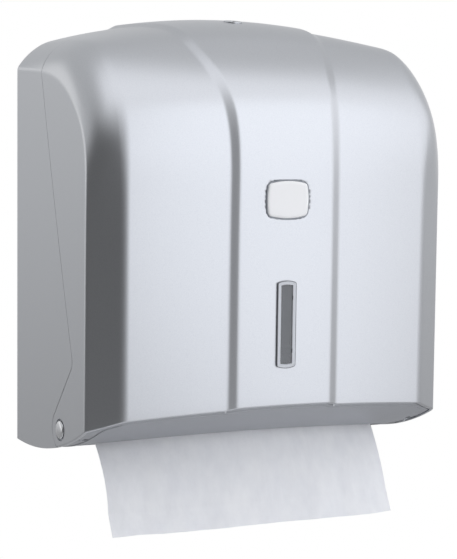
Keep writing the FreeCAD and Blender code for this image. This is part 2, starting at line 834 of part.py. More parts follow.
def outlet_tray():
    """Bottom tray: recessed rim, raised panel, throat with an upstand lip, and ribs for the stack."""
    plan = tray_outline(wall + tray_wall_gap, tray_half_width, -back_wall - seat_gap)
    panel_plan = rounded(tray_outline(wall + tray_wall_gap + panel_front_rim, panel_half_width,
                                      panel_back_y), panel_corner_radius)
    rim_top = rim_lift + tray_thickness
    panel_top = panel_lift + tray_thickness
    rim = plan_prism(plan).common(above_underside(rim_lift)).cut(above_underside(rim_top))
    panel = plan_prism(panel_plan).common(above_underside(panel_lift)).cut(above_underside(rim_top))
    dish = plan_prism(panel_plan.makeOffset2D(-tray_thickness)).common(above_underside(panel_top))
    tray = rim.fuse(panel).cut(dish.cut(above_underside(rim_top + bite)))
    throat = throat_face()
    lip = plan_prism(throat.makeOffset2D(lip_thickness)).common(above_underside(panel_lift + bite))
    lip = lip.cut(above_underside(panel_top + lip_height))
    ribs = []
    for x in tray_rib_places():
        rib = block(x - rib_thickness / 2, x + rib_thickness / 2, stack_front_y - tray_rib_margin,
                    -back_wall - tray_rib_margin, form_bottom, stack_bottom_z - stack_gap)
        ribs.append(rib)
    lattice = ribs[0].fuse(ribs[1:]).common(above_underside(panel_lift + bite))
    lattice = lattice.common(plan_prism(panel_plan.makeOffset2D(-tray_thickness / 2)))
    lattice = lattice.cut(plan_prism(throat.makeOffset2D(lip_thickness / 2)))
    tray = tray.fuse([lip, lattice]).cut(plan_prism(throat))
    for x in (-tray_screw_x, tray_screw_x):
        for y in tray_screw_y:
            seat = tray_screw_seat(y)
            tray = tray.fuse(post(pad_radius, x, y, seat - bite, tray_pad_top(y)))
            tray = tray.cut(post(screw_head_radius + head_gap, x, y, form_bottom, seat))
            tray = tray.cut(post(screw_radius + slide_gap, x, y, form_bottom, 0))
    return tray.removeSplitter()


def tray_rib_places():
    """Middles of the ribs that carry the stack."""
    count = int((paper_half_width - rib_thickness) / back_rib_pitch)
    return [back_rib_pitch * index for index in range(-count, count + 1)]


def tray_screws():
    """Four screws up through the tray's rim."""
    return [screw(Vector(x, y, tray_screw_seat(y)), Vector(0, 0, 1))
            for x in (-tray_screw_x, tray_screw_x) for y in tray_screw_y]


def guide_inner_x():
    """Inner face of a paper guide."""
    return paper_half_width + guide_gap


def guide_screw_places():
    """Places of the guide screws on the back plate, as (x, z)."""
    x = guide_inner_x() + (guide_foot + guide_thickness) / 2
    return [(side * x, z) for side in (-1, 1) for z in guide_slot_z]


def latch_screw_places():
    """Places of the latch bracket's screws on the back plate, as (x, z)."""
    return [(-latch_screw_x, latch_z), (latch_screw_x, latch_z)]


def back_seat():
    """Depth of the pads on the back plate."""
    return -back_wall - pad_height


def right_guide():
    """Right paper guide: an upright plate with a foot that is screwed to the back plate."""
    inner = guide_inner_x()
    back = back_seat() - face_gap
    plate = block(inner, inner + guide_thickness, guide_front_y, back, *guide_z)
    corners = [edge for edge in plate.Edges
               if abs(edge.CenterOfMass.y - guide_front_y) < seat_gap
               and min(abs(edge.CenterOfMass.z - z) for z in guide_z) < seat_gap]
    plate = plate.makeFillet(guide_corner_radius, corners)
    foot = block(inner, inner + guide_foot, back - guide_thickness, back, *guide_z)
    solid = plate.fuse(foot)
    web = polygon([Vector(inner + bite, back - bite, 0), Vector(inner + guide_foot, back - bite, 0),
                   Vector(inner + guide_foot, back - guide_thickness, 0),
                   Vector(inner + bite, back - guide_thickness - guide_foot, 0)])
    low, high = guide_slot_z
    for z in (low - guide_rib_step, (low + high) / 2, high + guide_rib_step):
        solid = solid.fuse(plan_prism(web, z - rib_thickness / 2, z + rib_thickness / 2))
    for x, z in guide_screw_places():
        if x > 0:
            solid = solid.cut(stud(screw_radius + slide_gap, x, z, guide_front_y, 0))
    return solid.removeSplitter()


def guide_screws():
    """Four screws of the paper guides."""
    seat = back_seat() - guide_thickness - 2 * face_gap
    return [screw(Vector(x, seat, z), Vector(0, 1, 0)) for x, z in guide_screw_places()]


def latch_bracket():
    """Latch bracket: a back flange, a channel arm and a box that guides the latch slide."""
    back = back_seat() - face_gap
    depth = slide_half_depth + slide_gap
    width = slide_half_width + slide_gap
    box_front = latch_y - depth - latch_wall
    box_back = latch_y + depth + latch_wall
    box = block(-width - latch_wall, width + latch_wall, box_front, box_back,
                pocket_floor_z - latch_wall, pocket_top_z)
    flange = block(-latch_flange[0], latch_flange[0], back - latch_wall, back,
                   latch_z - latch_flange[1], latch_z + latch_flange[1])
    flange = flange.makeFillet(latch_flange_corner, [edge for edge in flange.Edges
                                                     if abs(edge.Curve.Direction.y) > 0.9])
    arm = block(-latch_arm_half_width, latch_arm_half_width, box_back - bite, back - bite, *latch_arm_z)
    channel = block(-latch_arm_half_width + latch_wall, latch_arm_half_width - latch_wall,
                    box_back, back - latch_wall, latch_arm_z[0] + latch_wall, latch_arm_z[1] + bite)
    solid = flange.fuse([box, arm.cut(channel)])
    solid = solid.cut(block(-width, width, latch_y - depth, latch_y + depth, pocket_floor_z, far))
    tab_room = slide_tab_half_depth + slide_gap
    solid = solid.cut(block(-far, far, latch_y - tab_room, latch_y + tab_room,
                            slide_tab_z[0] - slide_travel - slide_gap, slide_tab_z[1] + slide_gap))
    solid = solid.fuse(post(spigot_radius, 0, latch_y, pocket_floor_z - bite,
                            pocket_floor_z + spigot_height))
    for x, z in latch_screw_places():
        solid = solid.cut(stud(screw_radius + slide_gap, x, z, back - latch_wall - bite, 0))
    return solid.removeSplitter()


def bracket_screws():
    """Two screws of the latch bracket."""
    seat = back_seat() - latch_wall - 2 * face_gap
    return [screw(Vector(x, seat, z), Vector(0, 1, 0)) for x, z in latch_screw_places()]


def latch_slide():
    """Sliding latch with a roof-shaped nose, two stop tabs and a dimple for the key."""
    front = latch_y - slide_half_depth
    back = latch_y + slide_half_depth
    foot = slide_z[1] - slide_half_depth * math.tan(math.radians(slide_nose_angle))
    outline = polygon([Vector(0, front, slide_z[0]), Vector(0, back, slide_z[0]), Vector(0, back, foot),
                       Vector(0, latch_y, slide_z[1]), Vector(0, front, foot)])
    solid = side_prism(outline, -slide_half_width, slide_half_width)
    reach = slide_half_width + slide_tab_reach
    tabs = block(-reach, reach, latch_y - slide_tab_half_depth, latch_y + slide_tab_half_depth, *slide_tab_z)
    dimple = post(bush_hole_radius, 0, latch_y, slide_z[1] - slide_dimple, slide_z[1] + bite)
    return solid.fuse(tabs).cut(dimple)


def latch_spring():
    """Compression spring under the latch slide, with closed ends."""
    low = pocket_floor_z + spring_wire / 2
    high = slide_z[0] - spring_wire / 2 - journal_gap
    middle_radius = spring_radius - spring_wire / 2
    coil_rise = high - low
    helix = Part.makeHelix(coil_rise / spring_turns, coil_rise, middle_radius)
    section = Part.Wire(Part.makeCircle(spring_wire / 2, Vector(middle_radius, 0, 0), Vector(0, 1, 0)))
    coil = Part.Wire(helix).makePipeShell([section], True, True)
    coil.translate(Vector(0, latch_y, low))
    return coil


def paper_stack():
    """Folded towels, one above the other, folded in turn at the front and at the back."""
    leaves = []
    for index in range(leaf_count):
        low = stack_bottom_z + index * leaf_thickness
        leaf = block(-paper_half_width, paper_half_width, stack_front_y, stack_back_y, low,
                     low + leaf_thickness)
        fold_y = stack_front_y if index % 2 == 0 else stack_back_y
        folds = [edge for edge in leaf.Edges
                 if abs(edge.CenterOfMass.y - fold_y) < seat_gap and abs(edge.Curve.Direction.x) > 0.9]
        leaves.append(leaf.makeFillet(leaf_fold_radius, folds))
    return leaves


def bowed_row(y_middle, bow, z):
    """Poles of a curve across the leaf, bowed forwards in the middle."""
    return [Vector(-paper_half_width, y_middle + bow, z), Vector(0, y_middle - bow, z),
            Vector(paper_half_width, y_middle + bow, z)]


def towel():
    """Leaf that hangs through the throat: bowed round the lip and straighter at its lower edge."""
    throat_y, throat_z = hang_throat
    rise = hang_top_z - throat_z
    rows = [bowed_row(throat_y + rise * pull_slope, hang_bow, hang_top_z),
            bowed_row(throat_y, hang_bow, throat_z),
            bowed_row(hang_bottom[0], hang_bottom_bow, hang_bottom[1])]
    parts = []
    for row_1, row_2 in zip(rows, rows[1:]):
        surface = Part.BSplineSurface()
        surface.buildFromPolesMultsKnots([row_1, row_2], [2, 2], [3, 3], [0, 1], [0, 1], False, False, 1, 2)
        parts.append(surface.toShape().extrude(Vector(0, hang_thickness, 0)))
    return parts[0].fuse(parts[1]).removeSplitter()


screw_length = tray_thickness + seat_gap + screw_bite
case_shell = form(0).cut(form(wall).common(block(-far, far, -far, -back_wall, -far, far)))
joint = housing_side()
right_pin = hinge_pin()
right_clip = pin_clip()
guide = right_guide()

pieces = {
    "rear_housing": rear_housing(),
    "outlet_tray": outlet_tray(),
    "tray_screws": Part.makeCompound(tray_screws()),
    "left_guide": flipped(guide),
    "right_guide": guide,
    "guide_screws": Part.makeCompound(guide_screws()),
    "latch_bracket": latch_bracket(),
    "bracket_screws": Part.makeCompound(bracket_screws()),
    "latch_spring": latch_spring(),
    "paper_stack": Part.makeCompound(paper_stack()),
    "left_hinge_pin": flipped(right_pin),
    "right_hinge_pin": right_pin,
    "left_pin_clip": flipped(right_clip),
    "right_pin_clip": right_clip,
    "front_cover": front_cover(),
    "cover_catch": cover_catch(),
    "window_lens": window_lens(),
    "badge_plate": badge_plate(),
    "badge_dome": badge_dome(),
    "key_bush": key_bush(),
    "latch_slide": latch_slide(),
    "towel": towel(),
}

os.makedirs("parts", exist_ok=True)
for name, shape in pieces.items():
    shape.exportStep(f"parts/{name}.step")
    print(name, shape.isValid(), len(shape.Solids), round(shape.Volume), shape.BoundBox)
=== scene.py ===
"""Wall dispenser for folded paper towels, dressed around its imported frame.

The shells are rebuilt as smooth skins from the case's own long curves. Lengths in the classes
are millimetres in the frame's axes, and each piece is scaled to metres when it is placed.
"""

import logging
import math
import random
from dataclasses import dataclass
from enum import Enum
from functools import lru_cache
from typing import Callable

import bmesh
import bpy
from mathutils import Matrix, Vector, noise


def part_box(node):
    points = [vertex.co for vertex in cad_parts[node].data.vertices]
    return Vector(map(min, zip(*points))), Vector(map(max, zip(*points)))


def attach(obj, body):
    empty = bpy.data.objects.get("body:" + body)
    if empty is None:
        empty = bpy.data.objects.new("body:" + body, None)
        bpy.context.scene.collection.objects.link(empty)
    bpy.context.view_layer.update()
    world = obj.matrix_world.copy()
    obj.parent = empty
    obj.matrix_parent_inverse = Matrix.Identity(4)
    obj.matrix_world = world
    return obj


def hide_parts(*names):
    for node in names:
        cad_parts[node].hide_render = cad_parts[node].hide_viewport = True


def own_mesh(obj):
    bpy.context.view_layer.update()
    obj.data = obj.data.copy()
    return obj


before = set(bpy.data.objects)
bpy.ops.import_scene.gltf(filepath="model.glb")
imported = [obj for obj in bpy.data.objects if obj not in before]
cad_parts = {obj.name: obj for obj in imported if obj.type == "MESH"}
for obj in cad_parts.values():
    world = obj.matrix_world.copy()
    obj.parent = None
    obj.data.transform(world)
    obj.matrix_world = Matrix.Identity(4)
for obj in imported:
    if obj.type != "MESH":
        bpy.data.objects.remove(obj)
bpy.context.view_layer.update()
log = logging.getLogger("dispenser")

MM = 0.001
# Points closer than this are one point
WELD = 0.004
# The smooth skins lie this far inside the frame's faceted ones, and are this thick
SKIN_INSET = 0.03
SHELL_WALL = 2.57
# Ribs and bosses start this far inside the outer form and above the underside
CORE_INSET = 2.55
LOW_CLEARANCE = 0.15
# Halvings when a place on the form is searched
HALVINGS = 26
# Poles and spans of the case's long curves: along a curve, 0 is the foot and 5 is the wall
POLES = 8
SPANS = POLES - 3
# Height of the picture in pixels, and width of the camera's sensor
IMAGE_HEIGHT = 559
SENSOR = 36.0

Row = list[Vector]
Mesh = bmesh.types.BMesh
Face = bmesh.types.BMFace
Piece = bpy.types.Object
Tree = bpy.types.NodeTree
Node = bpy.types.Node
Socket = bpy.types.NodeSocket
Stops = tuple[tuple[float, str], ...]


class Body(Enum):
    """Bodies of the frame that pieces ride on."""

    HOUSING = "housing"
    COVER = "cover"
    LATCH = "latch"
    TOWEL = "towel"


# Colours and shader nodes


def linear(colour: str) -> tuple[float, float, float, float]:
    """Turn an sRGB hex colour into linear values.

    Args:
        colour: Six hex digits after a hash.

    Returns:
        Red, green, blue and an alpha of one.
    """
    parts = [int(colour[place:place + 2], 16) / 255 for place in (1, 3, 5)]
    curve = [part / 12.92 if part <= 0.04045 else ((part + 0.055) / 1.055) ** 2.4 for part in parts]
    return curve[0], curve[1], curve[2], 1.0


def add_node(tree: Tree, kind: str, values: dict | None = None, stops: Stops = (), **settings) -> Node:
    """Add a node with its settings, its socket values and its links.

    Args:
        tree: Node tree that gets the node.
        kind: Type name of the node.
        values: Socket names with a value, an output to link from, or a node for its first output.
        stops: Place and hex colour of each stop of a colour ramp, in order.
        **settings: Properties of the node itself.

    Returns:
        The new node.
    """
    node = tree.nodes.new(kind)
    for name, value in settings.items():
        setattr(node, name, value)
    for index, (position, colour) in enumerate(stops):
        elements = node.color_ramp.elements
        element = elements[index] if index < len(elements) else elements.new(position)
        element.position = position
        element.color = linear(colour)
    for name, value in (values or {}).items():
        source = value.outputs[0] if isinstance(value, Node) else value
        if isinstance(source, Socket):
            tree.links.new(source, node.inputs[name])
        else:
            node.inputs[name].default_value = source
    return node


def new_material(name: str) -> tuple[bpy.types.Material, Tree, Socket]:
    """Start a material with an empty node tree.

    Args:
        name: Name of the finish.

    Returns:
        The material, its tree, and the Object coordinates in the tree.
    """
    material = bpy.data.materials.new(name)
    material.use_nodes = True
    tree = material.node_tree
    tree.nodes.clear()
    return material, tree, add_node(tree, "ShaderNodeTexCoord").outputs["Object"]


@dataclass(frozen=True)
class MouldedPlastic:
    """Injection-moulded plastic with a faint spark-eroded grain, and flake if it is metallic."""

    name: str
    colour: str
    dark: str
    metallic: float
    roughness: float
    spread: float = 0.03
    # Flake and grain are finer on the real part, and drawn this coarse so that they show
    flake_mm: float = 0.5
    grain_mm: float = 0.4
    grain_height_mm: float = 0.001
    ripple_mm: float = 45.0
    ripple_height_mm: float = 0.01

    def build(self) -> bpy.types.Material:
        """Make the material.

        Returns:
            The material, patterned in Object coordinates.
        """
        material, tree, place = new_material(self.name)
        flake = add_node(tree, "ShaderNodeTexNoise", {"Vector": place, "Scale": 1 / (self.flake_mm * MM),
                                                      "Detail": 1.0})
        grain = add_node(tree, "ShaderNodeTexNoise", {"Vector": place, "Scale": 1 / (self.grain_mm * MM),
                                                      "Detail": 2.0})
        ripple = add_node(tree, "ShaderNodeTexNoise", {"Vector": place, "Scale": 1 / (self.ripple_mm * MM),
                                                       "Detail": 0.0})
        tone = add_node(tree, "ShaderNodeValToRGB", {"Fac": flake},
                        stops=((0.3, self.dark), (0.6, self.colour)))
        rough = add_node(tree, "ShaderNodeMapRange", {"Value": flake,
                                                      "To Min": self.roughness - self.spread,
                                                      "To Max": self.roughness + self.spread})
        rippled = add_node(tree, "ShaderNodeBump", {"Strength": 1.0, "Height": ripple,
                                                    "Distance": self.ripple_height_mm * MM})
        grained = add_node(tree, "ShaderNodeBump", {"Strength": 1.0, "Height": grain, "Normal": rippled,
                                                    "Distance": self.grain_height_mm * MM})
        shader = add_node(tree, "ShaderNodeBsdfPrincipled", {"Base Color": tone,
                                                             "Metallic": self.metallic,
                                                             "Roughness": rough,
                                                             "Normal": grained})
        add_node(tree, "ShaderNodeOutputMaterial", {"Surface": shader})
        return material


@dataclass(frozen=True)
class PlatedSteel:
    """Zinc-plated or bare drawn steel: a metal with blotches from the bath or the drawing."""

    name: str
    colour: str
    dark: str
    roughness: float
    spread: float = 0.06
    blotch_mm: float = 2.0

    def build(self) -> bpy.types.Material:
        """Make the material.

        Returns:
            The material, patterned in Object coordinates.
        """
        material, tree, place = new_material(self.name)
        blotch = add_node(tree, "ShaderNodeTexNoise", {"Vector": place, "Scale": 1 / (self.blotch_mm * MM),
                                                       "Detail": 3.0})
        tone = add_node(tree, "ShaderNodeValToRGB", {"Fac": blotch},
                        stops=((0.35, self.dark), (0.65, self.colour)))
        rough = add_node(tree, "ShaderNodeMapRange", {"Value": blotch,
                                                      "To Min": self.roughness - self.spread,
                                                      "To Max": self.roughness + self.spread})
        shader = add_node(tree, "ShaderNodeBsdfPrincipled", {"Base Color": tone, "Metallic": 1.0,
                                                             "Roughness": rough})
        add_node(tree, "ShaderNodeOutputMaterial", {"Surface": shader})
        return material


@dataclass(frozen=True)
class ClearPlastic:
    """Clear moulded acrylic with a trace of the mould in its surface, hazy where it isn't polished."""

    name: str
    colour: str
    roughness: float
    clearness: float
    refraction: float = 1.49
    ripple_mm: float = 3.0
    ripple_height_mm: float = 0.004

    def build(self) -> bpy.types.Material:
        """Make the material.

        Returns:
            The material, patterned in Object coordinates.
        """
        material, tree, place = new_material(self.name)
        ripple = add_node(tree, "ShaderNodeTexNoise", {"Vector": place, "Scale": 1 / (self.ripple_mm * MM)})
        bump = add_node(tree, "ShaderNodeBump", {"Strength": 1.0, "Height": ripple,
                                                 "Distance": self.ripple_height_mm * MM})
        shader = add_node(tree, "ShaderNodeBsdfPrincipled", {"Base Color": linear(self.colour),
                                                             "Roughness": self.roughness,
                                                             "IOR": self.refraction,
                                                             "Transmission Weight": self.clearness,
                                                             "Normal": bump})
        add_node(tree, "ShaderNodeOutputMaterial", {"Surface": shader})
        return material


@dataclass(frozen=True)
class TowelPaper:
    """Creped paper towelling: matt, with fine crepe ridges across it and cloudy fibre."""

    name: str
    colour: str
    dark: str
    stretch: tuple[float, float, float] = (1.0, 1.0, 0.3)
    crepe_mm: float = 0.9
    crepe_height_mm: float = 0.05
    cloud_mm: float = 9.0
    cloud_height_mm: float = 0.25
    glow_mm: float = 1.2

    def build(self) -> bpy.types.Material:
        """Make the material.

        Returns:
            The material, patterned in Object coordinates.
        """
        material, tree, place = new_material(self.name)
        long_way = add_node(tree, "ShaderNodeMapping", {"Vector": place, "Scale": self.stretch})
        cloud = add_node(tree, "ShaderNodeTexNoise", {"Vector": long_way,
                                                      "Scale": 1 / (self.cloud_mm * MM), "Detail": 4.0,
                                                      "Roughness": 0.6})
        crepe = add_node(tree, "ShaderNodeTexNoise", {"Vector": long_way,
                                                      "Scale": 1 / (self.crepe_mm * MM), "Detail": 2.0})
        tone = add_node(tree, "ShaderNodeValToRGB", {"Fac": cloud},
                        stops=((0.3, self.dark), (0.65, self.colour)))
        clouded = add_node(tree, "ShaderNodeBump", {"Strength": 1.0, "Height": cloud,
                                                    "Distance": self.cloud_height_mm * MM})
        creped = add_node(tree, "ShaderNodeBump", {"Strength": 1.0, "Height": crepe, "Normal": clouded,
                                                   "Distance": self.crepe_height_mm * MM})
        shader = add_node(tree, "ShaderNodeBsdfPrincipled", {"Base Color": tone,
                                                             "Roughness": 0.95,
                                                             "Specular IOR Level": 0.2,
                                                             "Subsurface Weight": 0.9,
                                                             "Subsurface Radius": (1.0, 1.0, 1.0),
                                                             "Subsurface Scale": self.glow_mm * MM,
                                                             "Normal": creped})
        add_node(tree, "ShaderNodeOutputMaterial", {"Surface": shader})
        return material


class Finish(Enum):
    """The finishes of the dispenser's pieces, each with the name of its material slot."""

    # Silver ABS with aluminium flake: satin, mirrors the room softly
    SILVER = ("silver_plastic", MouldedPlastic("silver_flake_abs", "#c4c6c9", "#bdbfc3", 0.92, 0.32))
    # The tray is the same silver with a matt texture and less metallic; its darker colour is painted shade
    # of the underside
    TRAY = ("silver_plastic", MouldedPlastic("silver_abs_painted_underside_shade", "#a9abaf", "#a1a3a7", 0.5, 0.48))
    # The pins are the same silver, a little shinier; their lighter colour is painted light on the domed
    # heads
    PIN = ("pin_plastic", MouldedPlastic("silver_pin_acetal", "#d8d9db", "#d1d2d4", 0.9, 0.22))
    # Grey ABS inside: matt, no flake
    GREY = ("grey_plastic", MouldedPlastic("grey_abs", "#8f9296", "#888b8f", 0.0, 0.5))
    # White acetal latch: waxy and smooth
    WHITE = ("white_plastic", MouldedPlastic("white_acetal", "#e6e6e2", "#dcdcd8", 0.0, 0.35))
    # Screws, plated; their colour is darkened so that they glint less, a painted shade
    ZINC = ("zinc_steel", PlatedSteel("zinc_plated_steel", "#85888b", "#6c6f72", 0.42))
    # Spring wire and strip, bare and bright from drawing
    SPRING = ("spring_steel", PlatedSteel("drawn_spring_steel", "#b5b7b9", "#96989b", 0.25))
    # White creped tissue
    PAPER = ("towel_paper", TowelPaper("creped_towel_paper", "#eff1f7", "#e7e9f0"))
    # Polished acrylic; its grey tint, only partly clear, is painted shade of the dark inside seen through it
    CLEAR = ("clear_plastic", ClearPlastic("clear_acrylic", "#94979b", 0.05, 0.6))
    # The dome over the badge is clearer than the lens
    DOME = ("clear_plastic", ClearPlastic("clear_dome_resin", "#ffffff", 0.03, 0.15))
    # The lens is left unpolished where it seats: hazy and pale
    HAZE = ("clear_plastic", ClearPlastic("unpolished_acrylic", "#dfe2e7", 0.3, 0.2))
    # The lens's sides and outer strip are dark grey: a painted shadow line where the raised flange meets the
    # front
    RIM_SHADE = ("clear_plastic", ClearPlastic("acrylic_rim_painted_shade", "#6d7074", 0.3, 0.2))
    # Badge plate: bare pale silver print under the dome; its grey frame is painted shade at the badge's edge
    BADGE = ("badge_plastic", MouldedPlastic("badge_silver_print", "#e9eaed", "#e4e5e9", 0.15, 0.35))
    FRAME_SHADE = ("badge_plastic", MouldedPlastic("badge_frame_painted_gap_shade", "#8e9298", "#888c92", 0.3, 0.35))

    @property
    def slot(self) -> str:
        """Name of the material slot."""
        return self.value[0]

    @lru_cache(maxsize=None)
    def material(self) -> bpy.types.Material:
        """The finish's material, built once."""
        return self.value[1].build()


# Mesh helpers, all in millimetres until a piece is placed


def to_object(name: str, bm: Mesh) -> Piece:
    """Make a linked object of a bmesh and free it.

    Args:
        name: Name of the object.
        bm: The mesh being built.

    Returns:
        The object, at the origin.
    """
    mesh = bpy.data.meshes.new(name)
    bm.to_mesh(mesh)
    bm.free()
    piece = bpy.data.objects.new(name, mesh)
    bpy.context.scene.collection.objects.link(piece)
    return piece


def modify(piece: Piece, kind: str, **settings) -> Piece:
    """Add a modifier and apply it.

    Args:
        piece: The object.
        kind: Type name of the modifier.
        **settings: Properties of the modifier.

    Returns:
        The same object.
    """
    modifier = piece.modifiers.new(kind.lower(), kind)
    for name, value in settings.items():
        setattr(modifier, name, value)
    graph = bpy.context.evaluated_depsgraph_get()
    mesh = bpy.data.meshes.new_from_object(piece.evaluated_get(graph), preserve_all_data_layers=True,
                                           depsgraph=graph)
    piece.modifiers.clear()
    piece.data = mesh
    return piece


def combine(piece: Piece, other: Piece, operation: str) -> Piece:
    """Join, cut or intersect a piece with another, which is used up.

    Args:
        piece: The piece that stays.
        other: The piece that is used up.
        operation: UNION, DIFFERENCE or INTERSECT.

    Returns:
        The piece.
    """
    modify(piece, "BOOLEAN", object=other, operation=operation, solver="MANIFOLD")
    bpy.data.objects.remove(other)
    return piece


def soften(piece: Piece, width: float, angle: float = 40.0) -> Piece:
    """Round an object's sharp edges.

    Args:
        piece: The object.
        width: Width of the rounding.
        angle: Edges sharper than this many degrees are rounded.

    Returns:
        The same object.
    """
    return modify(piece, "BEVEL", width=width, segments=2, limit_method="ANGLE",
                  angle_limit=math.radians(angle), use_clamp_overlap=True, profile=0.5, material=-1)


def shade(piece: Piece, angle: float = 32.0) -> Piece:
    """Shade an object smoothly, with sharp edges kept and large faces flat.

    Args:
        piece: The object.
        angle: Edges sharper than this many degrees stay sharp.

    Returns:
        The same object.
    """
    piece.data.polygons.foreach_set("use_smooth", [True] * len(piece.data.polygons))
    piece.data.set_sharp_from_angle(angle=math.radians(angle))
    return modify(piece, "WEIGHTED_NORMAL", mode="FACE_AREA", weight=50, keep_sharp=True)


def place(piece: Piece, finish: Finish, body: Body, node: str, more: tuple[Finish, ...] = ()) -> Piece:
    """Scale a finished piece to metres, give it its finish and seat it in the frame.

    Args:
        piece: The piece, in millimetres.
        finish: Its finish.
        body: Body that it rides on.
        node: CAD node that it stands for.
        more: Further finishes that its faces name by number.

    Returns:
        The piece.
    """
    piece.data.transform(Matrix.Scale(MM, 4))
    numbers = [face.material_index for face in piece.data.polygons] if more else []
    piece.data.materials.clear()
    for one in (finish, *more):
        piece.data.materials.append(one.material())
    if more:
        piece.data.polygons.foreach_set("material_index", numbers)
    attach(piece, body.value)
    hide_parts(node)
    log.info("%s: %d faces, %s", piece.name, len(piece.data.polygons), finish.material().name)
    return piece


def node_mesh(node: str) -> Mesh:
    """Mesh of a CAD node, welded and in millimetres.

    Args:
        node: CAD node.

    Returns:
        The new mesh.
    """
    bm = bmesh.new()
    bm.from_mesh(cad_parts[node].data)
    bmesh.ops.scale(bm, vec=(1 / MM, 1 / MM, 1 / MM), verts=bm.verts)
    bmesh.ops.remove_doubles(bm, verts=bm.verts, dist=WELD)
    return bm


def node_copy(name: str, node: str) -> Piece:
    """Copy of a CAD node, with its flat areas made single faces.

    Args:
        name: Name of the copy.
        node: CAD node.

    Returns:
        The copy, in millimetres.
    """
    bm = node_mesh(node)
    bmesh.ops.dissolve_degenerate(bm, dist=WELD / 4, edges=bm.edges)
    flat = math.radians(0.3)
    bmesh.ops.dissolve_limit(bm, angle_limit=flat, verts=bm.verts, edges=bm.edges)
    return to_object(name, bm)


def carried(name: str, node: str, width: float, finish: Finish, body: Body) -> None:
    """Place a piece that has its CAD node's own shape, with softened edges and smooth curves.

    Args:
        name: Name of the piece.
        node: CAD node.
        width: Width of the edge rounding, in millimetres.
        finish: Its finish.
        body: Body that it rides on.
    """
    place(shade(soften(node_copy(name, node), width)), finish, body, node)


def islands(node: str) -> list[tuple[Vector, Vector]]:
    """Boxes of the separate solids of a node.

    Args:
        node: CAD node.

    Returns:
        Lowest and highest corner of each solid, in millimetres.
    """
    bm = node_mesh(node)
    boxes = []
    left = set(bm.verts)
    while left:
        group = [left.pop()]
        for vert in group:
            near = {edge.other_vert(vert) for edge in vert.link_edges} & left
            group.extend(near)
            left -= near
        boxes.append((Vector([min(vert.co[axis] for vert in group) for axis in range(3)]),
                      Vector([max(vert.co[axis] for vert in group) for axis in range(3)])))
    bm.free()
    return sorted(boxes, key=lambda corners: tuple(corners[0]))


def revolved(bm: Mesh, profile: list[tuple[float, float]], steps: int) -> None:
    """Turn a profile round the Z axis into a closed body.

    Args:
        bm: Mesh that gets the body.
        profile: Points as (radius, height), from the axis back to the axis.
        steps: Steps of the full turn.
    """
    verts = [bm.verts.new((radius, 0, height)) for radius, height in profile]
    edges = [bm.edges.new(pair) for pair in zip(verts, verts[1:])]
    bmesh.ops.spin(bm, geom=verts + edges, cent=(0, 0, 0), axis=(0, 0, 1), angle=2 * math.pi,
                   steps=steps, use_merge=True)
    bmesh.ops.remove_doubles(bm, verts=bm.verts, dist=WELD)
    bmesh.ops.recalc_face_normals(bm, faces=bm.faces)


def cylinder(name: str, radius: float, start: Vector, stop: Vector, steps: int = 48) -> Piece:
    """Closed cylinder between two points.

    Args:
        name: Name of the object.
        radius: Radius.
        start: Middle of one end.
        stop: Middle of the other end.
        steps: Sides of the round.

    Returns:
        The object.
    """
    bm = bmesh.new()
    along = stop - start
    turn = along.to_track_quat("Z", "Y").to_matrix().to_4x4()
    bmesh.ops.create_cone(bm, cap_ends=True, segments=steps, radius1=radius, radius2=radius,
                          depth=along.length, matrix=Matrix.Translation((start + stop) / 2) @ turn)
    return to_object(name, bm)


def everything(bm: Mesh) -> list:
    """All vertices, edges and faces of a mesh, for an operator."""
    return bm.verts[:] + bm.edges[:] + bm.faces[:]


def rounded_off(bm: Mesh, geom: list, offset: float, segments: int, affect: str = "EDGES") -> None:
    """Round some edges or corners of a mesh.

    Args:
        bm: The mesh.
        geom: Edges or vertices.
        offset: Width of the rounding.
        segments: Steps of the rounding.
        affect: EDGES or VERTICES.
    """
    bmesh.ops.bevel(bm, geom=geom, offset=offset, offset_type="OFFSET", segments=segments, profile=0.5,
                    affect=affect, material=-1)


def extruded(bm: Mesh, face: Face, along: Vector) -> list[Face]:
    """Extrude a face into a closed body, with the face as its foot.

    Args:
        bm: The mesh.
        face: The face.
        along: Extrusion.

    Returns:
        The face at the far end, in a list.
    """
    grown = bmesh.ops.extrude_face_region(bm, geom=[face], use_keep_orig=True)["geom"]
    far = [item for item in grown if isinstance(item, Face)]
    bmesh.ops.translate(bm, vec=along, verts=far[0].verts[:])
    bmesh.ops.recalc_face_normals(bm, faces=bm.faces)
    return far


def prism(bm: Mesh, outline: Row, along: Vector) -> None:
    """Extrude a closed outline, given by its corners in order, into a body."""
    extruded(bm, bm.faces.new([bm.verts.new(corner) for corner in outline]), along)


def bisected(low: float, high: float, is_low: Callable[[float], bool]) -> tuple[float, float]:
    """Narrow a range down to the place where a test changes.

    Args:
        low: Lower end, where the test holds.
        high: Upper end, where it doesn't.
        is_low: The test.

    Returns:
        The narrowed range.
    """
    for _ in range(HALVINGS):
        middle = (low + high) / 2
        if is_low(middle):
            low = middle
        else:
            high = middle
    return low, high


# The case's own form


def spline_weights(place: float) -> list[float]:
    """Weights of the poles of a clamped cubic curve.

    Args:
        place: Place along the curve, from zero to the number of spans.

    Returns:
        One weight for each pole.
    """
    knots = [min(max(index - 3, 0), SPANS) for index in range(POLES + 4)]
    place = min(max(place, 0.0), SPANS - 1e-9)
    weights = [1.0 if knots[index] <= place < knots[index + 1] else 0.0 for index in range(POLES + 3)]
    for degree in (1, 2, 3):
        for index in range(POLES + 3 - degree):
            left = knots[index + degree] - knots[index]
            right = knots[index + degree + 1] - knots[index + 1]
            rising = (place - knots[index]) / left * weights[index] if left else 0.0
            falling = (knots[index + degree + 1] - place) / right * weights[index + 1] if right else 0.0
            weights[index] = rising + falling
    return weights[:POLES]


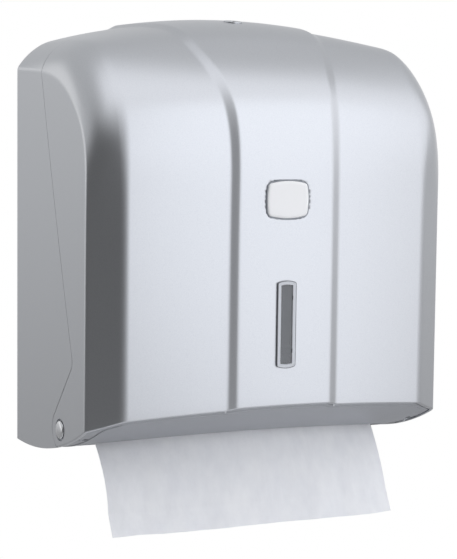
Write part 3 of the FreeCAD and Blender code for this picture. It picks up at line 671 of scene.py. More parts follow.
def bezier(controls: Row, share: float) -> Vector:
    """Point of a straight line or a quadratic curve.

    Args:
        controls: Two or three control points.
        share: Place along it, from 0 to 1.

    Returns:
        The point.
    """
    while len(controls) > 1:
        controls = [first.lerp(second, share) for first, second in zip(controls, controls[1:])]
    return controls[0]


@dataclass(frozen=True)
class LongCurve:
    """A long curve of the case: up the front and over the top to the wall."""

    depth: float
    shoulder: float
    corner: float
    crown: tuple[float, float]
    ridge: tuple[float, float]
    back: float

    def poles(self, bottom: float, draft: float, inset: float) -> list[tuple[float, float]]:
        """Poles of the curve, moved inwards.

        Args:
            bottom: Height at which the curve starts.
            draft: Lean of the front.
            inset: Distance inwards from the outer form.

        Returns:
            The poles as (y, z).
        """
        heights = [bottom + (self.shoulder - bottom) * step / 3 for step in range(4)] + [self.corner]
        points = [(-self.depth - draft * height, height) for height in heights]
        points += [(-self.crown[0], self.crown[1]), (-self.ridge[0], self.ridge[1]), (0.0, self.back)]
        legs = []
        for (y_1, z_1), (y_2, z_2) in zip(points, points[1:]):
            length = math.hypot(y_2 - y_1, z_2 - z_1)
            legs.append(((z_2 - z_1) / length, (y_1 - y_2) / length))
        moved = []
        for index, (y, z) in enumerate(points):
            before = legs[max(index - 1, 0)]
            after = legs[min(index, len(legs) - 1)]
            share = 1 + before[0] * after[0] + before[1] * after[1]
            moved.append((y + inset * (before[0] + after[0]) / share,
                          z + inset * (before[1] + after[1]) / share))
        moved[0] = (moved[0][0], bottom)
        moved[-1] = (0.0, moved[-1][1])
        return moved


@dataclass(frozen=True)
class Underside:
    """Arc of the case's underside, lowest a little in front of the wall."""

    radius: float = 212.5
    low_y: float = -23.0
    low_z: float = -130.3

    def height(self, y: float) -> float:
        """Height of the underside at a depth."""
        return self.low_z + self.radius - math.sqrt(self.radius ** 2 - (y - self.low_y) ** 2)

    def above(self, point: Vector) -> float:
        """How far a point lies above the underside."""
        return point.z - self.height(point.y)

    def row(self, x: float, start: float, stop: float, steps: int) -> Row:
        """Points on the underside between two depths, without the two ends.

        Args:
            x: Place across.
            start: Depth of one end.
            stop: Depth of the other end.
            steps: Number of steps from end to end.

        Returns:
            The points.
        """
        depths = [start + (stop - start) * step / steps for step in range(1, steps)]
        return [Vector((x, y, self.height(y))) for y in depths]


@dataclass(frozen=True)
class JointLine:
    """Joint between housing and cover, in side view, with an ear round the hinge pin."""

    gap: float = 0.4
    top: tuple[float, float] = (-42.5, 118.0)
    middle: tuple[float, float] = (-67.6, 24.0)
    nose: tuple[float, float] = (-95.5, -68.5)
    nose_radius: float = 8.0
    pivot: tuple[float, float] = (-75.1, -112.8)
    ear_reach: float = 13.4
    end_angle: float = -80.0
    arc_steps: int = 28
    nose_steps: int = 8
    line_steps: int = 6
    ear_steps: int = 18

    def _circle(self) -> tuple[Vector, float]:
        """Long arc through its three points.

        Returns:
            Its centre and radius.
        """
        first, second, third = Vector(self.top), Vector(self.middle), Vector(self.nose)
        one, two = second - first, third - first
        cross = 2 * (one.x * two.y - one.y * two.x)
        centre = Vector((two.y * one.length_squared - one.y * two.length_squared,
                         one.x * two.length_squared - two.x * one.length_squared)) / cross
        return first + centre, centre.length

    def outline(self, offset: float, top_z: float) -> Row:
        """Joint line from the top down and round the ear, moved towards the front.

        Args:
            offset: Distance towards the front.
            top_z: Height at which the line starts.

        Returns:
            Points as (y, z).
        """
        pivot = Vector(self.pivot)
        centre, radius = self._circle()
        side = 1 if centre.x < self.middle[0] else -1
        reach = self.ear_reach - offset
        arm = Vector(self.nose) - pivot
        foot_angle = math.atan2(arm.y, arm.x) - math.acos(self.ear_reach / arm.length)
        out = Vector((math.cos(foot_angle), math.sin(foot_angle)))
        down = Vector((out.y, -out.x))
        nose_reach = radius + side * self.nose_radius
        seat = pivot + out * (self.ear_reach + self.nose_radius) - centre
        along = seat.dot(down)
        slide = math.sqrt(nose_reach ** 2 - seat.length_squared + along ** 2)
        options = [seat + down * (slide - along), seat - down * (slide + along)]
        nose_centre = min(options, key=lambda point: (point + centre - Vector(self.nose)).length) + centre
        arc_radius = radius - side * offset
        start = math.asin((top_z - centre.y) / arc_radius)
        toward = nose_centre - centre
        stop = math.asin(toward.y / toward.length)
        points = []
        for step in range(self.arc_steps):
            angle = start + (stop - start) * step / self.arc_steps
            points.append(centre + Vector((side * math.cos(angle), math.sin(angle))) * arc_radius)
        first = -toward.normalized() * side
        last = -out
        turn = first.angle_signed(last)
        for step in range(self.nose_steps):
            spoke = Matrix.Rotation(-turn * step / self.nose_steps, 2) @ first
            points.append(nose_centre + spoke * (self.nose_radius + offset))
        begin = nose_centre + last * (self.nose_radius + offset)
        foot = pivot + out * reach
        points += [begin.lerp(foot, step / self.line_steps) for step in range(self.line_steps + 1)]
        end_angle = self._ear_end(reach)
        for step in range(1, self.ear_steps + 1):
            angle = foot_angle + (end_angle - foot_angle) * step / self.ear_steps
            points.append(pivot + Vector((math.cos(angle), math.sin(angle))) * reach)
        return points

    def _ear_end(self, reach: float) -> float:
        """Angle at which the ear's circle meets the underside.

        Args:
            reach: Radius of the circle.

        Returns:
            The angle.
        """
        def is_below(angle: float) -> bool:
            """Whether the circle is below the underside at an angle."""
            y = self.pivot[0] + reach * math.cos(angle)
            return self.pivot[1] + reach * math.sin(angle) <= UNDERSIDE.height(y)

        return bisected(math.radians(self.end_angle), 0.0, is_below)[1]


@dataclass(frozen=True)
class Station:
    """Place across the case: a share of one strip, or of the rounding at its first crease."""

    strip: int
    share: float
    on_crease: bool = False


@dataclass(frozen=True)
class CaseForm:
    """Outer form of the case: four strips on each side between rounded long creases."""

    half_width: float = 131.0
    chamfer_width: float = 20.8
    draft: float = 0.0105
    bottom: float = -150.0
    side: LongCurve = LongCurve(115.0, 41.5, 83.9, (71.1, 118.6), (34.2, 119.6), 121.6)
    front: LongCurve = LongCurve(129.1, 54.2, 91.6, (94.1, 137.7), (70.8, 140.7), 139.3)
    centre: LongCurve = LongCurve(137.0, 34.3, 104.7, (97.2, 135.0), (75.0, 155.7), 154.2)
    chamfer_bulge: tuple[float, ...] = (0, 0, 0, 0, 7.9, 12.1, 6.7, 3.9)
    band_half_width: float = 40.2
    band_raise: float = 2.1
    band_step_width: float = 6.2
    band_flare: tuple[float, ...] = (0, 0, 0, 0, -0.9, 13.0, 16.5, 24.8)
    band_step_top: float = 5.7
    crease_reach: tuple[float, ...] = (1.6, 3.9, 1.5, 1.5)
    crease_steps: tuple[int, ...] = (4, 7, 4, 4)
    strip_steps: tuple[int, ...] = (9, 10, 3, 9)

    @lru_cache(maxsize=None)
    def strips(self, inset: float) -> list[list[Row]]:
        """Rows of surface poles of each strip, from the side crease to the middle.

        Args:
            inset: Distance inwards from the outer form.

        Returns:
            Two or three rows of poles for each strip.
        """
        front_x = self.half_width - self.chamfer_width
        slope = math.atan2(self.front.depth - self.side.depth, self.chamfer_width)
        bow = math.atan2(2 * (self.centre.depth - self.front.depth), front_x)
        corner = (math.pi / 2 + slope) / 2
        corner_stretch = 1 / math.cos((math.pi / 2 - slope) / 2)
        crease = (slope + bow) / 2
        crease_stretch = 1 / math.cos((slope - bow) / 2)
        side_x = self.half_width - inset * math.sin(corner) * corner_stretch
        crease_x = front_x - inset * math.sin(crease) * crease_stretch
        side = self.side.poles(self.bottom, self.draft, inset * math.cos(corner) * corner_stretch)
        front = self.front.poles(self.bottom, self.draft, inset * math.cos(crease) * crease_stretch)
        middle = self.centre.poles(self.bottom, self.draft, inset)
        band = self.centre.poles(self.bottom, self.draft, inset - self.band_raise)
        rows: dict[str, Row] = {name: [] for name in ("side", "front", "face", "outer", "inner", "band")}
        for index, flare in enumerate(self.band_flare):
            outer_x = self.band_half_width + flare
            narrow = max(index - 4, 0) / 3 * (self.band_step_width - self.band_step_top)
            inner_x = outer_x - self.band_step_width + narrow
            drop = Vector((0, front[index][0] - middle[index][0], front[index][1] - middle[index][1]))
            centre_pole = Vector((0, *middle[index]))
            band_pole = Vector((0, *band[index]))
            inner_drop = drop * (inner_x / crease_x) ** 2
            rows["side"].append(Vector((side_x, *side[index])))
            rows["front"].append(Vector((crease_x, *front[index])))
            rows["face"].append(Vector(((outer_x + crease_x) / 2, 0, 0)) + centre_pole
                                + drop * (outer_x / crease_x))
            rows["outer"].append(Vector((outer_x, 0, 0)) + centre_pole + drop * (outer_x / crease_x) ** 2)
            rows["inner"].append(Vector((inner_x, 0, 0)) + band_pole + inner_drop)
            rows["band"].append(band_pole - inner_drop)
        far_inner = [Vector((-pole.x, pole.y, pole.z)) for pole in rows["inner"]]
        chamfer = self._bulged(rows["side"], rows["front"])
        return [[rows["side"], chamfer, rows["front"]], [rows["front"], rows["face"], rows["outer"]],
                [rows["outer"], rows["inner"]], [rows["inner"], rows["band"], far_inner]]

    def _bulged(self, first: Row, second: Row) -> Row:
        """Middle row between two rows of poles, pushed out square to both directions.

        Args:
            first: One row.
            second: The other row.

        Returns:
            The middle row.
        """
        middle = [one.lerp(two, 0.5) for one, two in zip(first, second)]
        row = []
        for index, pole in enumerate(middle):
            if index == len(middle) - 1:
                along = Vector((0, 1, 0))
            else:
                along = middle[index + 1] - middle[max(index - 1, 0)]
            outward = (first[index] - second[index]).cross(along).normalized()
            row.append(pole + outward * self.chamfer_bulge[index])
        return row

    def stations(self) -> list[Station]:
        """Places across one half of the case.

        Returns:
            The places, from the side plane to the middle.
        """
        found = []
        for strip, (on_crease, on_strip) in enumerate(zip(self.crease_steps, self.strip_steps)):
            found += [Station(strip, step / on_crease, True) for step in range(on_crease)]
            found += [Station(strip, step / on_strip) for step in range(on_strip)]
        return found + [Station(len(self.strip_steps) - 1, 1.0)]

    def _ends(self, strip: int, controls: Row) -> tuple[float, float]:
        """Part of a strip that isn't rounded.

        Args:
            strip: Number of the strip.
            controls: Its control points at one place along.

        Returns:
            Shares of the strip at which the part starts and stops.
        """
        degree = len(controls) - 1
        start = self.crease_reach[strip] / (degree * (controls[1] - controls[0]).length)
        if strip == len(self.strip_steps) - 1:
            return start, 0.5
        return start, 1 - self.crease_reach[strip + 1] / (degree * (controls[-1] - controls[-2]).length)

    def point(self, station: Station, along: float, inset: float = 0.0) -> Vector:
        """Point of the rounded form.

        Args:
            station: Place across.
            along: Place along, from 0 at the foot to 5 at the wall.
            inset: Distance inwards.

        Returns:
            The point.
        """
        weights = spline_weights(along)
        controls = self._controls(station.strip, inset, weights)
        start, stop = self._ends(station.strip, controls)
        if not station.on_crease:
            return bezier(controls, start + (stop - start) * station.share)
        corner = controls[0]
        if station.strip:
            before = self._controls(station.strip - 1, inset, weights)
            arrive = bezier(before, self._ends(station.strip - 1, before)[1])
        else:
            step = 0.01
            high, low = (self._controls(0, inset, spline_weights(place))[0]
                         for place in (along + step, along - step))
            ahead = high - low
            arrive = corner + Vector((0, ahead.z, -ahead.y)).normalized() * self.crease_reach[0]
        return bezier([arrive, corner, bezier(controls, start)], station.share)

    def _controls(self, strip: int, inset: float, weights: list[float]) -> Row:
        """Control points of a strip at one place along.

        Args:
            strip: Number of the strip.
            inset: Distance inwards.
            weights: Weights of the poles at that place.

        Returns:
            The points, across the strip.
        """
        return [sum((pole * weight for pole, weight in zip(row, weights)), Vector())
                for row in self.strips(inset)[strip]]

    def crossing(self, station: Station, inset: float, measure: Callable[[Vector], float]) -> float:
        """Place along at which a rising measure passes zero.

        Args:
            station: Place across.
            inset: Distance inwards.
            measure: Measure of a point.

        Returns:
            The place along.
        """
        return sum(bisected(0.0, SPANS, lambda along: measure(self.point(station, along, inset)) < 0)) / 2

    def column(self, station: Station, low: float, high: float, steps: int, inset: float = 0.0) -> Row:
        """Points up one station between two places along."""
        return [self.point(station, low + (high - low) * step / steps, inset) for step in range(steps + 1)]

    def front_y(self, x: float, z: float) -> float:
        """Depth of the band's surface at a place on the front.

        Args:
            x: Place across, within the band.
            z: Height.

        Returns:
            The depth, as y.
        """
        band = len(self.strip_steps) - 1
        share = (1 - abs(x) / self.strips(0.0)[band][0][0].x) / 2

        def at(along: float) -> Vector:
            """Point of the band at a place along."""
            return bezier(self._controls(band, 0.0, spline_weights(along)), share)

        return at(bisected(0.0, SPANS - 1, lambda along: at(along).z < z)[0]).y


UNDERSIDE = Underside()
JOINT = JointLine()
FORM = CaseForm()
INSIDE = Vector((0, -60, 0))


def on_grid(columns: list[Row]) -> Mesh:
    """Grid moved onto columns of points.

    Args:
        columns: Columns of equally many points.

    Returns:
        The new mesh.
    """
    bm = bmesh.new()
    across = len(columns) - 1
    along = len(columns[0]) - 1
    bmesh.ops.create_grid(bm, x_segments=across, y_segments=along, size=0.5)
    for vert in bm.verts:
        column = columns[round((vert.co.x + 0.5) * across)]
        vert.co = column[round((vert.co.y + 0.5) * along)]
    return bm


def nearest(bm: Mesh, points: Row) -> list[bmesh.types.BMVert]:
    """Vertices at given points, new where there is none.

    Args:
        bm: The mesh.
        points: The places.

    Returns:
        One vertex for each point.
    """
    known = {tuple(round(value, 3) for value in vert.co): vert for vert in bm.verts}
    keys = [tuple(round(value, 3) for value in point) for point in points]
    for key, point in zip(keys, points):
        if key not in known:
            known[key] = bm.verts.new(point)
    return [known[key] for key in keys]


def outward(bm: Mesh, inside: Vector) -> None:
    """Turn an open surface's faces away from a point inside it.

    Args:
        bm: The surface.
        inside: A point inside.
    """
    bmesh.ops.recalc_face_normals(bm, faces=bm.faces)
    facing = sum(face.normal.dot(face.calc_center_median() - inside) * face.calc_area() for face in bm.faces)
    if facing < 0:
        bmesh.ops.reverse_faces(bm, faces=bm.faces)


def mirrored(bm: Mesh) -> None:
    """Add a surface's other half across the middle plane."""
    bmesh.ops.mirror(bm, geom=everything(bm), axis="X", merge_dist=WELD)
    bmesh.ops.remove_doubles(bm, verts=bm.verts, dist=WELD)


def skin_columns(low: Callable[[Vector], float], high: Callable[[Vector], float], steps: int) -> list[Row]:
    """Points of the outer skin between two limits, for half of the case.

    Args:
        low: Measure that passes zero at the lower limit.
        high: Measure that passes zero at the upper limit.
        steps: Steps along.

    Returns:
        A column of points for each station, from the side plane to the middle.
    """
    columns = []
    for station in FORM.stations():
        start, stop = (FORM.crossing(station, SKIN_INSET, measure) for measure in (low, high))
        columns.append(FORM.column(station, start, stop, steps, SKIN_INSET))
    return columns


def case_core() -> Piece:
    """Closed solid of the case's inside, where its ribs and bosses are.

    Returns:
        The solid.
    """
    steps = 70
    floor = FORM.bottom + 1.0
    columns = [FORM.column(station, 0.0, SPANS, steps, CORE_INSET) for station in FORM.stations()]
    bm = on_grid(columns)
    bm.faces.new(nearest(bm, columns[0] + [Vector((columns[0][0].x, 0, FORM.bottom))]))
    mirrored(bm)
    for plane, normal in (((0, -CORE_INSET, 0), (0, 1, 0)), ((0, 0, floor), (0, 0, -1))):
        bmesh.ops.bisect_plane(bm, geom=everything(bm), plane_co=plane, plane_no=normal, clear_outer=True)
    sill = bm.edges.new([vert for vert in bm.verts if abs(vert.co.y + CORE_INSET) < WELD
                         and abs(vert.co.z - floor) < WELD])
    for axis, height in ((1, -CORE_INSET), (2, floor)):
        rim = [edge for edge in bm.edges if edge.is_boundary
               and all(abs(vert.co[axis] - height) < WELD for vert in edge.verts)]
        bmesh.ops.contextual_create(bm, geom=list(set(rim) | {sill}))
    bmesh.ops.recalc_face_normals(bm, faces=bm.faces)
    return to_object("core", bm)


def walled(skin: Piece, edge: float, low_edge: float) -> Piece:
    """Give an open skin its wall, inwards, and round the wall's edges.

    Args:
        skin: The open skin.
        edge: Width of the rounding.
        low_edge: Width of the softer rounding along the outside of the underside.

    Returns:
        The closed shell.
    """
    outside = len(skin.data.vertices)
    near = 0.1
    modify(skin, "SOLIDIFY", thickness=SHELL_WALL, offset=-1, use_even_offset=True,
           use_quality_normals=True)
    bm = bmesh.new()
    bm.from_mesh(skin.data)
    bm.verts.ensure_lookup_table()
    low = {vert for vert in bm.verts[:outside] if abs(vert.co.z - UNDERSIDE.height(vert.co.y)) < WELD}
    rim = [side for side in bm.edges if set(side.verts) <= low]
    # The slanted join of the rim's faces at each low corner of the wall plate would pinch the rounding
    corners = [vert for vert in bm.verts if abs(vert.co.y) < WELD and vert.co.z < UNDERSIDE.height(0) + near]
    seams = [join for vert in corners for join in vert.link_edges
             if abs(abs(join.other_vert(vert).co.x - vert.co.x) - SHELL_WALL) < near]
    bmesh.ops.dissolve_edges(bm, edges=seams)
    if low_edge:
        rounded_off(bm, rim, low_edge, segments=4)
    bm.to_mesh(skin.data)
    bm.free()
    return soften(skin, edge, angle=60)


def inner_parts(name: str, node: str) -> Piece:
    """Ribs, bosses and lugs of a shell: what its CAD node has inside the walls.

    Args:
        name: Name of the new object.
        node: CAD node of the shell.

    Returns:
        The inner parts as closed bodies.
    """
    spare = 1.1
    behind = 5.0
    roof = 200.0
    steps = 60
    side = FORM.half_width * spare
    reach = FORM.centre.depth * spare
    depths = [behind - (reach + behind) * step / steps for step in range(steps + 1)]
    outline = [Vector((-side, y, UNDERSIDE.height(y) + LOW_CLEARANCE)) for y in depths]
    outline += [Vector((-side, y, roof)) for y in (-reach, behind)]
    bm = bmesh.new()
    prism(bm, outline, Vector((2 * side, 0, 0)))
    inside = combine(to_object("above_underside", bm), case_core(), "INTERSECT")
    return combine(node_copy(name, node), inside, "INTERSECT")


@dataclass(frozen=True)
class RearHousing:
    """Rear shell with its wall plate, screwed to the wall."""

    edge: float = 0.3
    top_steps: int = 18
    arc_steps: int = 26
    hole_x: float = 90.0
    hole_z: float = 80.0
    hole_radius: float = 2.75
    hole_ends: tuple[float, float] = (-20.0, 5.0)

    def skin(self) -> Piece:
        """Outer surface: top, sides and wall plate.

        Returns:
            The open surface.
        """
        limit = JOINT.top[0]
        columns = skin_columns(lambda point: point.y - limit, lambda point: point.y, self.top_steps)
        bm = on_grid(columns)
        side = columns[0]
        x = side[0].x
        joint = JOINT.outline(0.0, side[0].z)
        corner = Vector((x, 0, UNDERSIDE.height(0)))
        low_edge = UNDERSIDE.row(x, 0.0, joint[-1].x, self.arc_steps)
        path = side + [corner] + low_edge + [Vector((x, *point)) for point in reversed(joint[1:])]
        bm.faces.new(nearest(bm, path))
        mirrored(bm)
        rim = [edge for edge in bm.edges if all(abs(vert.co.y) < WELD for vert in edge.verts)]
        low = [vert for vert in bm.verts if (Vector((abs(vert.co.x), *vert.co.yz)) - corner).length < WELD]
        rim.append(bm.edges.new(low))
        bmesh.ops.contextual_create(bm, geom=rim)
        outward(bm, INSIDE)
        return to_object("rear_shell", bm)

    def build(self) -> None:
        """Make the housing and place it."""
        piece = walled(self.skin(), self.edge, 0.0)
        combine(piece, inner_parts("rear_inner", "rear_housing"), "UNION")
        for x in (-self.hole_x, self.hole_x):
            for z in (-self.hole_z, self.hole_z):
                ends = [Vector((x, y, z)) for y in self.hole_ends]
                combine(piece, cylinder("hole", self.hole_radius, *ends), "DIFFERENCE")
        place(shade(piece), Finish.SILVER, Body.HOUSING, "rear_housing")


@dataclass(frozen=True)
class FrontCover:
    """Front shell on its hinge ears, with the openings for lens, badge, bush and pins."""

    edge: float = 0.3
    low_edge: float = 1.1
    long_steps: int = 90
    arc_steps: int = 14
    journal_radius: float = 4.05
    bore_depth: float = 9.0
    counterbore_radius: float = 7.3
    counterbore_depth: float = 1.5
    clear: float = 5.0
    bush_y: float = -61.0
    bush_radius: float = 4.7
    bush_heights: tuple[float, float] = (140.0, 175.0)

    def skin(self) -> Piece:
        """Outer surface: front, top and sides as far as the joint.

        Returns:
            The open surface.
        """
        limit = JOINT.top[0] - JOINT.gap
        columns = skin_columns(UNDERSIDE.above, lambda point: point.y - limit, self.long_steps)
        bm = on_grid(columns)
        side = columns[0]
        x = side[0].x
        joint = JOINT.outline(JOINT.gap, side[-1].z)
        low_edge = UNDERSIDE.row(x, joint[-1].x, side[0].y, self.arc_steps)
        bm.faces.new(nearest(bm, side + [Vector((x, *point)) for point in joint[1:]] + low_edge))
        mirrored(bm)
        outward(bm, INSIDE)
        return to_object("cover_shell", bm)

    def build(self) -> None:
        """Make the cover and place it."""
        piece = walled(self.skin(), self.edge, self.low_edge)
        combine(piece, inner_parts("cover_inner", "front_cover"), "UNION")
        for side in (-1, 1):
            centre = Vector((side * FORM.half_width, *JOINT.pivot))
            out = Vector((side, 0, 0))
            for radius, depth in ((self.journal_radius, self.bore_depth),
                                  (self.counterbore_radius, self.counterbore_depth)):
                bore = cylinder("bore", radius, centre - out * depth, centre + out * self.clear)
                combine(piece, bore, "DIFFERENCE")
        combine(piece, WindowLens().cutter(), "DIFFERENCE")
        combine(piece, Badge().cutter(), "DIFFERENCE")
        ends = [Vector((0, self.bush_y, height)) for height in self.bush_heights]
        combine(piece, cylinder("bush_hole", self.bush_radius, *ends), "DIFFERENCE")
        place(shade(piece), Finish.SILVER, Body.COVER, "front_cover")


@dataclass(frozen=True)
class WindowLens:
    """Clear level window: a hazy raised border round a sunk clear pane, snapped into the front."""

    low_z: float = -71.9
    high_z: float = -15.0
    half_width: float = 6.85
    arch: float = 1.3
    corner: float = 1.0
    lap: float = 1.5
    gap: float = 0.2
    proud: float = 1.15
    depth: float = 5.0
    seat: float = 0.05
    rim_shade_line: float = 0.45
    border: float = 2.0
    sink: float = 0.75
    draft: float = 0.12
    edge: float = 0.22
    hooks: tuple[float, float] = (10.0, 12.6)
    level_half_width: float = 5.0
    arch_steps: int = 10
    cut_start: float = 5.0
    cut_pitch: float = 5.2
    cuts: int = 10
    slot_y: float = -120.0
    slot_depth: float = 30.0

    def outline(self, bm: Mesh, grow: float) -> Face:
        """Face with arched ends and rounded corners, at y = 0.

        Args:
            bm: Mesh that gets the face.
            grow: Margin outside the visible outline.

        Returns:
            The face.
        """
        side = self.half_width + grow
        radius = (side ** 2 + self.arch ** 2) / (2 * self.arch)
        spread = math.asin(side / radius)
        points = []
        for end, height in ((-1, self.low_z - grow), (1, self.high_z + grow)):
            for step in range(self.arch_steps + 1):
                angle = spread * (2 * step / self.arch_steps - 1)
                points.append(Vector((-end * radius * math.sin(angle), 0,
                                      height - end * radius * (1 - math.cos(angle)))))
        verts = [bm.verts.new(point) for point in points]
        bm.faces.new(verts)
        ends = [verts[index] for index in (0, self.arch_steps, self.arch_steps + 1, 2 * self.arch_steps + 1)]
        rounded_off(bm, ends, self.corner, segments=4, affect="VERTICES")
        return bm.faces[:][0]

    def cutter(self) -> Piece:
        """Slot in the front.

        Returns:
            Body that cuts it.
        """
        bm = bmesh.new()
        extruded(bm, self.outline(bm, self.gap - self.lap), Vector((0, -self.slot_depth, 0)))
        bmesh.ops.translate(bm, vec=(0, self.slot_y, 0), verts=bm.verts)
        return to_object("lens_slot", bm)

    def build(self) -> None:
        """Make the lens and place it."""
        bm = bmesh.new()
        back = self.outline(bm, 0.0)
        front = extruded(bm, back, Vector((0, -self.proud, 0)))
        # Sides and, through the first inset, the outer strip take the dark rim finish: a painted shadow line
        for side in bm.faces:
            side.material_index = 2
        back.material_index = 0
        bmesh.ops.inset_region(bm, faces=front, thickness=self.rim_shade_line, use_even_offset=True)
        for thickness, depth in ((self.border, 0.0), (self.draft, -self.sink)):
            for face in front:
                face.material_index = 1
            bmesh.ops.inset_region(bm, faces=front, thickness=thickness, depth=depth, use_even_offset=True)
        for face in front:
            face.material_index = 0
        for thickness, depth in ((self.lap, 0.0), (self.draft, self.depth)):
            bmesh.ops.inset_region(bm, faces=[back], thickness=thickness, depth=depth, use_even_offset=True)
        low_hook, high_hook = self.hooks
        cuts = [self.low_z + self.cut_start + step * self.cut_pitch for step in range(self.cuts)]
        cuts += [self.low_z + low_hook, self.low_z + high_hook, self.high_z - low_hook,
                 self.high_z - high_hook]
        for height in cuts:
            bmesh.ops.bisect_plane(bm, geom=everything(bm), plane_co=(0, 0, height), plane_no=(0, 0, 1))
        # The border's sides at the hooks take the same dark grey as the rim
        for face in bm.faces:
            height = face.calc_center_median().z
            reach = min(height - self.low_z, self.high_z - height)
            if face.material_index == 1 and low_hook < reach < high_hook and abs(face.normal.y) < 0.5:
                face.material_index = 2
        for vert in bm.verts:
            vert.co.y += FORM.front_y(min(abs(vert.co.x), self.level_half_width), vert.co.z) - self.seat
        piece = soften(to_object("window", bm), self.edge, angle=50)
        place(shade(piece), Finish.CLEAR, Body.COVER, "window_lens", more=(Finish.HAZE, Finish.RIM_SHADE))


@dataclass(frozen=True)
class Badge:
    """Bare badge: a framed plate let into the front under a clear dome."""

    centre_z: float = 37.2
    half_width: float = 15.8
    half_height: float = 12.75
    bow: tuple[float, float] = (1.1, 1.9)
    bow_cuts: int = 7
    corner: float = 2.4
    recess: float = 0.9
    proud: float = 0.5
    margin: float = 0.65
    dish_draft: float = 0.02
    dish_floor: float = 0.05
    dome_height: float = 0.7
    dome_width: float = 2.4
    dome_rings: int = 7
    edge: float = 0.18
    gap: float = 0.2
    seat: float = 0.1
    clear: float = 6.0

    def outline(self, bm: Mesh, grow: float) -> Face:
        """Face with bowed sides and rounded corners, at y = 0 and centred on the badge.

        Args:
            bm: Mesh that gets the face.
            grow: Margin outside the badge's outline.

        Returns:
            The face.
        """
        side_bow, end_bow = self.bow
        wide = self.half_width - side_bow + grow
        high = self.half_height - end_bow + grow
        corners = [bm.verts.new((x * wide, 0, z * high)) for x, z in ((-1, -1), (1, -1), (1, 1), (-1, 1))]
        bm.faces.new(corners)
        rounded_off(bm, corners, self.corner + grow, segments=6, affect="VERTICES")
        long_edges = [edge for edge in bm.edges if edge.calc_length() > self.corner * 2]
        bmesh.ops.subdivide_edges(bm, edges=long_edges, cuts=self.bow_cuts)
        for vert in bm.verts:
            x, z = vert.co.x, vert.co.z
            vert.co.x += side_bow * x / wide * (1 - (z / high) ** 2)
            vert.co.z += end_bow * z / high * (1 - (x / wide) ** 2)
        return bm.faces[:][0]

    def slab(self, grow: float, back: float, front: float) -> tuple[Mesh, list]:
        """Flat slab of the badge's outline.

        Args:
            grow: Margin outside the badge's outline.
            back: Place of its back.
            front: Place of its front.

        Returns:
            Its mesh, and its front face in a list.
        """
        bm = bmesh.new()
        lid = extruded(bm, self.outline(bm, grow), Vector((0, front - back, 0)))
        bmesh.ops.translate(bm, vec=(0, back, 0), verts=bm.verts)
        return bm, lid

    def raised(self, bm: Mesh, lid: list, thickness: float, height: float) -> None:
        """Inset a slab's front face and move it outwards.

        Args:
            bm: The slab.
            lid: Its front face, in a list.
            thickness: Width of the inset.
            height: Distance outwards.
        """
        bmesh.ops.inset_region(bm, faces=lid, thickness=thickness, use_even_offset=True)
        top = {vert for face in lid for vert in face.verts}
        bmesh.ops.translate(bm, vec=(0, -height, 0), verts=list(top))

    def on_front(self, name: str, bm: Mesh) -> Piece:
        """Bend a slab onto the band's surface.

        Args:
            name: Name of the object.
            bm: The slab.

        Returns:
            The object.
        """
        for vert in bm.verts:
            vert.co.z += self.centre_z
            vert.co.y += FORM.front_y(vert.co.x, vert.co.z)
        bmesh.ops.recalc_face_normals(bm, faces=bm.faces)
        return to_object(name, bm)

    def cutter(self) -> Piece:
        """Badge's recess in the front.

        Returns:
            Body that cuts it.
        """
        return self.on_front("badge_recess", self.slab(self.gap, self.recess, self.recess - self.clear)[0])

    def build(self) -> None:
        """Make the plate and its dome, and place them."""
        bm, lid = self.slab(0.0, self.recess - self.seat, -self.proud)
        # Sides and the outer strip take the grey frame finish: painted shade at the badge's edge
        for part in bm.faces:
            part.material_index = 1
        bmesh.ops.inset_region(bm, faces=lid, thickness=self.margin, use_even_offset=True)
        self.raised(bm, lid, self.dish_draft, self.dish_floor - self.proud)
        lid[0].material_index = 0
        plate = soften(self.on_front("badge_frame", bm), self.edge, angle=50)
        place(shade(plate), Finish.BADGE, Body.COVER, "badge_plate", more=(Finish.FRAME_SHADE,))
        bm, lid = self.slab(-self.margin - self.seat, -self.seat, -self.proud)
        turns = [math.pi / 2 * ring / self.dome_rings for ring in range(self.dome_rings + 1)]
        for low, high in zip(turns, turns[1:]):
            self.raised(bm, lid, self.dome_width * (math.cos(low) - math.cos(high)),
                        self.dome_height * (math.sin(high) - math.sin(low)))
        dome = shade(self.on_front("badge_cover", bm), angle=60)
        place(dome, Finish.DOME, Body.COVER, "badge_dome")


